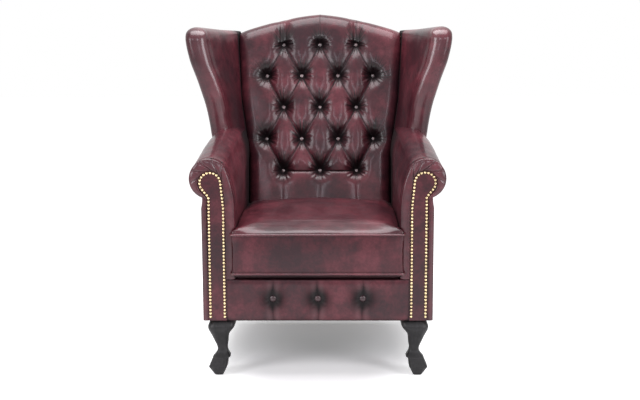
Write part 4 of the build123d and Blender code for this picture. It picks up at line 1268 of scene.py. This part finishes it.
def makeCushionBlock():
    top, bottom = (cushionOutline(cushion[seam], 400) for seam in ("topSeam", "bottomSeam"))
    rows = []

    def ring(line, s, height):
        centreY = 0.5 * (line[:, 1].min() + line[:, 1].max())
        x = line[:, 0] * s
        y = centreY + (line[:, 1] - centreY) * s
        return np.stack([x, behind(0) + y, np.full(len(line), height)], axis=1)

    for s in (0.02, 0.2, 0.4, 0.6, 0.8, 0.93):
        rows.append(ring(bottom, s, cushion["under"] + 0.0008))
    rows.append(ring(bottom, 0.985, cushion["under"] + 0.004))
    for k in range(13):
        t = k / 12
        line = bottom + (top - bottom) * t
        z = cushion["bottomSeam"] + (cushion["topSeam"] - cushion["bottomSeam"]) * t
        pull = 0.003 * math.sin(math.pi * t)
        rows.append(ring(line, 1 - 0.002 - pull * 0.5, z))
    for s in (0.995, 0.985, 0.97, 0.95, 0.92, 0.88, 0.83, 0.76, 0.68, 0.56, 0.42, 0.26, 0.1, 0.02):
        row = ring(top, s, cushion["topSeam"])
        sideways = np.clip(np.abs(row[:, 0]) / (cushion["half"] * s), 0, 1) ** 10
        full = sideways * (1 - s**30) ** 0.4 + (1 - sideways) * (1 - s**9) ** 0.55
        row[:, 2] += topRise(row[:, 0], row[:, 1] - frontY) * full
        rows.append(row)
    return gridMesh("seatCushion", np.array(rows), loopColumns=True, capRows=True)


def remeshed(block):
    remesh = block.modifiers.new("remesh", "REMESH")
    remesh.mode = "VOXEL"
    remesh.voxel_size = cushion["voxel"]
    settle(block)
    return pointsOf(block)


def simulateCushion(block, start):
    # blow the leather case up a little over its filling, so that it creases where it is sewn
    group = block.vertex_groups.new(name="sewn")
    for index, away in enumerate(seamDistance(start)):
        weight = 1.0 if away < 0.006 else (0.25 if start[index][2] < 0.32 else 0.0)
        if weight:
            group.add([index], weight, "REPLACE")
    cloth = block.modifiers.new("cloth", "CLOTH")
    cloth.settings.use_pressure = True
    cloth.settings.uniform_pressure_force = cushion["pressure"]
    cloth.settings.effector_weights.gravity = 0
    cloth.settings.vertex_group_mass = "sewn"
    cloth.settings.mass = cushion["mass"]
    for kind, amount in cushion["stiffness"].items():
        setattr(cloth.settings, kind + "_stiffness", amount)
    cloth.settings.quality = 4
    cloth.collision_settings.use_collision = False
    cloth.collision_settings.use_self_collision = False
    cloth.point_cache.frame_start = 1
    cloth.point_cache.frame_end = cushion["frames"]
    for number in range(1, cushion["frames"] + 1):
        bpy.context.scene.frame_set(number)
    settle(block)
    move = pointsOf(block) - start
    bpy.context.scene.frame_set(1)
    length = np.linalg.norm(move, axis=1, keepdims=True) + 1e-9
    move *= np.minimum(1, cushion["cap"] / length)
    # even the movement out between neighbours, so that no hard line stays
    ends = np.array([edge.vertices[:] for edge in block.data.edges])
    degree = np.bincount(ends.reshape(-1), minlength=len(move))[:, None]
    for _ in range(cushion["evenings"]):
        total = np.zeros_like(move)
        np.add.at(total, ends[:, 0], move[ends[:, 1]])
        np.add.at(total, ends[:, 1], move[ends[:, 0]])
        move = 0.5 * move + 0.5 * total / degree
    return start + move


def seamDistance(points):
    best = np.full(len(points), 9.0)
    for z in (cushion["topSeam"], cushion["bottomSeam"]):
        for x, y in cushionOutline(z, 300):
            away = np.sqrt(((points - np.array((x, behind(y), z))) ** 2).sum(axis=1))
            best = np.minimum(best, away)
    return best


def keepClear(points, body):
    # stay clear of the arms, the deck and the back
    clear = cushion["clear"]
    reach = np.where(body, clear["body"], clear["ear"])
    points[:, 0] = np.clip(points[:, 0], -reach, reach)
    points[:, 2] = np.maximum(points[:, 2], cushion["under"])
    points[:, 1] = np.maximum(points[:, 1], behind(clear["front"]))


def coverFilling(points, body):
    # the case lies over its filling, also along the sides and at the rear corners
    half, topSeam, ease = cushion["half"], cushion["topSeam"], cushion["cornerEase"]
    onFilling = (points[:, 2] > topSeam + 0.001) & (np.abs(points[:, 0]) < half + 0.003)
    filled = fillingTop(points[:, 0], points[:, 1] - frontY) + cushion["overFilling"]
    over = points[:, 2] - filled
    lifted = 0.003 * np.log1p(np.exp(np.clip(over, -0.1, 0.012) / 0.003))
    points[:, 2] = np.where(onFilling, filled + np.where(over > 0.012, over, lifted), points[:, 2])
    beside = onFilling & (np.abs(points[:, 0]) > half - 0.006) & body
    besideX = np.sign(points[:, 0]) * np.maximum(np.abs(points[:, 0]), half + 0.0014)
    points[:, 0] = np.where(beside, besideX, points[:, 0])
    rearLimit = np.array([cushionRear(z) for z in points[:, 2]]) + cushion["overFilling"]
    points[:, 1] = np.minimum(points[:, 1], frontY + rearLimit)
    short = half - ease - np.abs(points[:, 0])
    shallow = rearLimit - cushion["overFilling"] - ease - (points[:, 1] - frontY)
    atCorner = (short > 0) & (shallow > 0) & (short < 0.03) & (shallow < 0.03)
    atCorner &= (points[:, 2] > cushion["bottomSeam"] - 0.004) & (points[:, 2] < topSeam + 0.004)
    points[:, 0] += np.where(atCorner & (short <= shallow), np.sign(points[:, 0]) * short, 0)
    points[:, 1] += np.where(atCorner & (short > shallow), shallow, 0)


def makeCushion():
    block = makeCushionBlock()
    points = remeshed(block)
    points = simulateCushion(block, points)
    movePoints(block, points)
    block.data.update()
    finer = block.modifiers.new("finer", "SUBSURF")
    finer.levels = finer.render_levels = 1
    settle(block)
    points = pointsOf(block)
    topSeam, bottomSeam = cushion["topSeam"], cushion["bottomSeam"]
    depth = points[:, 1] - frontY
    onTop = ramp(points[:, 2], topSeam, 0.008)
    onSide = ramp(topSeam, points[:, 2], 0.006) * ramp(points[:, 2], bottomSeam, 0.006)
    # broad hollows where people sit, soft creases at the front corners, puckers below the top seam
    points[:, 2] += onTop * (
        ripple(points * np.array((1, 0.7, 1)), 9, 11) * 0.0020
        + ripple(points, 24, 12) * 0.0009
        - 0.002 * bell(points[:, 0], 0.14) * bell(depth - 0.26, 0.13)
    )
    frontFace = ramp(cushion["front"] + 0.02, depth, 0.01)
    gather = np.sin(points[:, 0] * 460 + 1.3 * np.sin(points[:, 0] * 61))
    gather *= np.exp(-(topSeam - 0.004 - points[:, 2]).clip(0) / 0.012)
    slack = ripple(points * np.array((0.8, 1, 1)), 14, 13)
    points[:, 1] += frontFace * onSide * (-0.0005 * gather - 0.0009 * slack)
    body = depth > cushion["earBack"] + 0.001
    keepClear(points, body)
    coverFilling(points, body)
    movePoints(block, points)
    away = seamDistance(points)
    # painted shade at the seams, on the rear of the top, beside the arms and under the bottom seam
    shade = np.clip(0.85 * np.exp(-away / 0.0032) + 0.45 * onSide * np.exp(-away / 0.012), 0, 1)
    shade += 0.5 * onTop * ramp(depth, 0.33, 0.12)
    shade += 0.25 * onTop * ramp(np.abs(points[:, 0]), 0.215, 0.025)
    shade += 0.6 * ramp(bottomSeam, points[:, 2], 0.003)
    addLayer(block.data, "shade", np.clip(shade, 0, 1))
    # painted sheen on the front of the top
    paintedTopSheen = 0.38 * onTop * bell(depth - 0.14, 0.13) * np.exp(-((points[:, 0] / 0.22) ** 4))
    addLayer(block.data, "paintedSheen", paintedTopSheen)
    return tidyMesh(block, 1e-6)


dress(makeCushion(), finishes["leather"], "seat_cushion", "oxblood_leather", "cushion_cover", fill=0.8)
print("cushion made")


# Piping round the cushion's two seams
def makePiping(name, z, seed):
    count, sides = 520, 12
    line = cushionOutline(z, count)
    path = np.stack([line[:, 0], behind(0) + line[:, 1], np.full(count, z)], axis=1)
    path[:, 2] += ripple(path, 14, seed) * 0.0007
    ahead = np.roll(path, -1, axis=0) - np.roll(path, 1, axis=0)
    ahead /= np.linalg.norm(ahead, axis=1, keepdims=True)
    side = np.cross(ahead, np.array((0, 0, 1.0)))
    side /= np.linalg.norm(side, axis=1, keepdims=True)
    up = np.cross(side, ahead)
    turns = np.linspace(0, 2 * math.pi, sides, endpoint=False)
    number = np.arange(count)
    swell = cushion["piping"] * (1 + 0.05 * np.sin(number * 1.9) + 0.03 * np.sin(number * 0.7))
    spread = np.cos(turns)[None, :, None] * side[:, None] + np.sin(turns)[None, :, None] * up[:, None]
    grid = path[:, None] + swell[:, None, None] * spread
    body = grid[..., 1] > behind(cushion["earBack"] + 0.001)
    clear = cushion["clear"]["piping"]
    grid[..., 0] = np.where(body, np.clip(grid[..., 0], -clear, clear), grid[..., 0])
    blank = np.ones((count, 1))
    # painted shade on one side of the piping, painted highlight on the other
    values = {"shade": 0.35 * (np.cos(turns) < 0) * blank, "paintedSheen": 0.5 * (np.cos(turns) > 0.3) * blank}
    return gridMesh(name, grid, values, loopRows=True, loopColumns=True)


for name, node, z, seed in (
    ("cushionPipingTop", "cushion_piping_top", cushion["topSeam"], 14),
    ("cushionPipingBottom", "cushion_piping_bottom", cushion["bottomSeam"], 15),
):
    dress(makePiping(name, z, seed), finishes["leather"], "seat_cushion", "oxblood_leather", node)
print("piping made")


# Deck under the cushion: leather over felt, with a seam behind the border

deck = {"front": 0.004, "rear": 0.600, "seam": 0.110, "seamWidth": 0.0022, "edgeRound": 0.02}


def makeDeck():
    xs = np.linspace(-chair["halfSeat"] + 0.0005, chair["halfSeat"] - 0.0005, 90)
    ys = np.linspace(deck["front"], deck["rear"], 100)
    x, y = np.meshgrid(xs, ys)
    edge = np.minimum(chair["halfSeat"] - np.abs(x), np.minimum(y - deck["front"], deck["rear"] - y))
    top = chair["deckTop"] - 0.0004 - 0.005 * (1 - domed(edge, deck["edgeRound"]))
    seam = bell(y - deck["seam"], deck["seamWidth"])
    top -= 0.0025 * seam + 0.001 * (0.5 + 0.5 * ripple(np.stack([x, y, y * 0], axis=2), 12, 16))
    # painted shade along the seam and the edges
    shade = np.clip(0.9 * seam + 0.7 * np.exp(-edge / 0.01), 0, 1)
    upper = np.stack([x, behind(0) + y, top], axis=2)
    lower = np.stack([x[::-1], behind(0) + y[::-1], np.full(x.shape, chair["coverFoot"])], axis=2)[::20]
    grid = np.concatenate([upper, lower])
    shade = np.concatenate([shade, np.full(lower.shape[:2], 0.5)])
    return gridMesh("seatDeck", grid, {"shade": shade}, loopRows=True, capColumns=True)


dress(makeDeck(), finishes["deckLeather"], "chair", "deck_leather", "deck_pad", fill=0.5)


# Dust cloth under the seat, tacked to the rails and sagging a little between them
def makeDustCloth():
    low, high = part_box("dust_cover")
    xs = np.linspace(low.x, high.x, 40)
    ys = np.linspace(low.y, high.y, 36)
    x, y = np.meshgrid(xs, ys)
    inX = np.clip(np.minimum(x - low.x, high.x - x) / 0.12, 0, 1)
    inY = np.clip(np.minimum(y - low.y, high.y - y) / 0.12, 0, 1)
    z = high.z - 0.0006 - 0.005 * inX * inY
    z = z + ripple(np.stack([x, y, y * 0], axis=2), 14, 17) * 0.0004
    sheet = gridMesh("dustCloth", np.stack([x, y, z], axis=2))
    thick = sheet.modifiers.new("thickness", "SOLIDIFY")
    thick.thickness = 0.0005
    thick.offset = 0
    settle(sheet)
    return tidyMesh(sheet, 1e-6), (high.x - low.x, high.y - low.y)


dustCloth, dustSize = makeDustCloth()
dustCloth.data.materials.append(finishes["dustCloth"])
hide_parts("dust_cover")
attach(dustCloth, "chair")
print("deck and dust cloth made")


# Geometry Nodes: one domed head on every point, turned to the point's own direction
def studTree(name, segments, rings):
    tree = bpy.data.node_groups.new(name, "GeometryNodeTree")
    addSocket = tree.interface.new_socket
    addSocket("Geometry", in_out="INPUT", socket_type="NodeSocketGeometry")
    sockets = {
        label: addSocket(label, in_out="INPUT", socket_type="NodeSocket" + kind).identifier
        for label, kind in (
            ("Head Diameter", "Float"),
            ("Head Height", "Float"),
            ("Size Variation", "Float"),
            ("Finish", "Material"),
        )
    }
    addSocket("Geometry", in_out="OUTPUT", socket_type="NodeSocketGeometry")
    places, diameter, height, variation, finish = (
        addNode(tree, "NodeGroupInput", {}, {}, label) for label in ("Geometry", *sockets)
    )
    sphere = {"Segments": segments, "Rings": rings, "Radius": 1.0}
    head = addNode(tree, "GeometryNodeMeshUVSphere", {}, sphere, "Mesh")
    size = addNode(tree, "ShaderNodeCombineXYZ", {}, {0: diameter * 0.5, 1: diameter * 0.5, 2: height})
    head = addNode(tree, "GeometryNodeTransform", {}, {"Geometry": head, "Scale": size}, "Geometry")
    facing = addNode(
        tree,
        "GeometryNodeInputNamedAttribute",
        {"data_type": "FLOAT_VECTOR"},
        {"Name": "facing"},
        "Attribute",
    )
    turned = addNode(
        tree, "FunctionNodeAlignRotationToVector", {"axis": "Z"}, {"Vector": facing}, "Rotation"
    )
    limits = {2: -1.0, 3: 1.0, "Seed": 7}
    spread = addNode(tree, "FunctionNodeRandomValue", {"data_type": "FLOAT"}, limits, 1)
    studs = addNode(
        tree,
        "GeometryNodeInstanceOnPoints",
        {},
        {"Points": places, "Instance": head, "Rotation": turned, "Scale": spread * variation + 1.0},
        "Instances",
    )
    for kind, more in (
        ("GeometryNodeRealizeInstances", {}),
        ("GeometryNodeSetShadeSmooth", {}),
        ("GeometryNodeSetMaterial", {"Material": finish}),
    ):
        studs = addNode(tree, kind, {}, {"Geometry": studs, **more}, "Geometry")
    addNode(tree, "NodeGroupOutput", {}, {0: studs})
    return tree, sockets


def growStuds(name, places, direction, look, finish):
    mesh = bpy.data.meshes.new(name)
    mesh.from_pydata([tuple(p) for p in places], [], [])
    addLayer(mesh, "facing", [tuple(direction)] * len(places), "FLOAT_VECTOR")
    thing = addThing(name, mesh)
    tree, sockets = studTree(name + "Tree", *look["faces"])
    grow = thing.modifiers.new("studs", "NODES")
    grow.node_group = tree
    grow[sockets["Head Diameter"]] = look["diameter"]
    grow[sockets["Head Height"]] = look["height"]
    grow[sockets["Size Variation"]] = look["variation"]
    grow[sockets["Finish"]] = finish
    settle(thing)
    return thing


# faces are the segments and rings of one head
nails = {
    "diameter": 0.0091,
    "height": 0.0042,
    "variation": 0.03,
    "faces": (12, 8),
    "pitch": 0.0103,
    "inset": 0.006,
    "lift": 0.012,
    "depth": -0.0022,
}
backButton = {"diameter": 0.0195, "height": 0.0068, "variation": 0.02, "faces": (24, 14)}
borderButton = {"diameter": 0.0205, "height": 0.0066, "variation": 0.0, "faces": (24, 14)}
ahead = (0, -1, 0)

nailLine = np.concatenate(facingOutline(nails["inset"], chair["legHeight"] + nails["lift"]))
nailSteps = lengthsAlong(nailLine)
nailCount = int(round(nailSteps[-1] / nails["pitch"]))
nailPoints = pointsAt(np.linspace(0, nailSteps[-1], nailCount + 1), nailSteps, nailLine)
for side, suffix in ((1, "right"), (-1, "left")):
    places = [(side * x, behind(nails["depth"]), z) for x, z in nailPoints]
    studs = growStuds("armNails" + suffix.capitalize(), places, ahead, nails, finishes["brass"])
    dress(studs, finishes["brass"], "chair", "antique_brass", "arm_nails_" + suffix)

backPlaces = [valleyOrigin + x * backX + up * backUp + 0.0005 * backOut for x, up in buttons]
frontPlaces = [(x, behind(-0.0004), border["buttonHeight"]) for x in borderPlaces]
for name, node, places, direction, look, finish in (
    ("backButtons", "back_buttons", backPlaces, backOut, backButton, "buttonLeatherWithPaintedHighlight"),
    ("borderButtons", "border_buttons", frontPlaces, ahead, borderButton, "borderButtonLeatherWithPaintedShade"),
):
    studs = growStuds(name, places, direction, look, finishes[finish])
    dress(studs, finishes[finish], "chair", "oxblood_leather", node)
print("nails and buttons made")


# CAD nodes that stay, with their finishes

kept = {
    "beech": [
        "arm_post", "back_post", "side_seat_rail", "arm_rail", "wing_board", "front_seat_rail",
        "rear_seat_rail", "corner_blocks", "lower_back_rail", "crest_rail",
    ],
    "leather": [
        "arm_facing_upper", "arm_facing_lower",
        "outside_arm_panel", "outside_wing_panel", "outside_back_panel",
    ],
    "brass": ["wing_nails"],
    "zipBrass": ["cushion_zip"],
    "steel": ["leg_bolts", "seat_springs", "spring_clips"],
    "blackWood": ["front_leg", "rear_leg"],
    "webbing": ["back_webbing"],
    "foam": ["back_foam", "cushion_core"],
    "glide": ["leg_glides"],
}
for finish, nodes in kept.items():
    for node in [base + side for base in nodes for side in ("", "_left", "_right")]:
        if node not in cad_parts:
            continue
        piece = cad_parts[node]
        if not piece.material_slots:
            piece.data.materials.append(finishes[finish])
        for materialSlot in piece.material_slots:
            materialSlot.material = finishes[finish]
print("kept pieces finished")


# Floor, backdrop and light

studio = {
    "floor": ((0.80, 0.80, 0.80), (0.815, 0.815, 0.815)),
    "shadowLift": 0.20,
    "glow": 0.93,
    "world": 0.14,
    "worldColour": (0.96, 0.97, 1.0, 1),
    "corners": [(-9, -7, 0), (9, -7, 0), (9, 16, 0), (-9, 16, 0)],
}
white = (1, 1, 1, 1)


def makeFloor():
    material, tree = newMaterial("studioFloor")
    speck = cloudy(tree, objectPoint(tree), 3.0, 2.0)
    colour = mixColour(tree, stretch(tree, speck, 0.3, 0.7), *studio["floor"])
    diffuse = addNode(tree, "ShaderNodeBsdfDiffuse", {}, {"Color": colour})
    # the floor glows to white away from the chair; in an oval round the chair it glows less, painted
    # shade that lets the chair's own shadow show
    sockets = {0: barePoint(tree), 1: (1.8, 0.8, 0.0)}
    spread = addNode(tree, "ShaderNodeVectorMath", {"operation": "MULTIPLY"}, sockets)
    reach = addNode(tree, "ShaderNodeVectorMath", {"operation": "LENGTH"}, {0: spread}, "Value")
    strength = stretch(tree, reach, 0.38, 0.80, studio["shadowLift"], studio["glow"])
    glow = addNode(tree, "ShaderNodeEmission", {}, {"Color": white, "Strength": strength})
    both = addNode(tree, "ShaderNodeAddShader", {}, {0: diffuse, 1: glow})
    mixed = addNode(tree, "ShaderNodeMixShader", {}, {0: seenWhite(tree), 1: diffuse, 2: both})
    addNode(tree, "ShaderNodeOutputMaterial", {}, {"Surface": mixed})
    floor = meshFrom("studioFloor", studio["corners"], [(0, 1, 2, 3)])
    floor.data.materials.append(material)


def makeWorld():
    world = bpy.data.worlds.new("studioWorld")
    bpy.context.scene.world = world
    world.use_nodes = True
    tree = world.node_tree
    tree.nodes.clear()
    light, backdrop = (
        addNode(tree, "ShaderNodeBackground", {}, {"Color": colour, "Strength": strength})
        for colour, strength in ((studio["worldColour"], studio["world"]), (white, 1.0))
    )
    mixed = addNode(tree, "ShaderNodeMixShader", {}, {0: seenWhite(tree), 1: light, 2: backdrop})
    addNode(tree, "ShaderNodeOutputWorld", {}, {"Surface": mixed})


# name, place, target, width and height, power, colour
lamps = (
    ("topSoftbox", (0, 0.1, 2.9), (0, 0, 0.6), (2.4, 1.8), 98.0, (1, 0.98, 1)),
    ("leftSoftbox", (-2.3, -1.9, 1.6), (0, 0, 0.75), (1.1, 1.8), 50.0, (0.97, 0.96, 1)),
    ("rightSoftbox", (2.3, -1.9, 1.6), (0, 0, 0.75), (1.1, 1.8), 50.0, (0.97, 0.96, 1)),
    ("leftStrip", (-0.85, -3.3, 2.15), (0, 0, 0.85), (0.35, 1.2), 13.0, (0.93, 0.91, 1)),
    ("rightStrip", (0.85, -3.3, 2.15), (0, 0, 0.85), (0.35, 1.2), 13.0, (0.93, 0.91, 1)),
)
makeFloor()
makeWorld()
for name, place, target, size, power, colour in lamps:
    lamp = bpy.data.lights.new(name, "AREA")
    lamp.shape = "RECTANGLE"
    lamp.size, lamp.size_y = size
    lamp.energy = power
    lamp.color = colour
    holder = addThing(name, lamp)
    holder.location = place
    holder.rotation_euler = (Vector(target) - Vector(place)).to_track_quat("-Z", "Y").to_euler()
print("studio made")
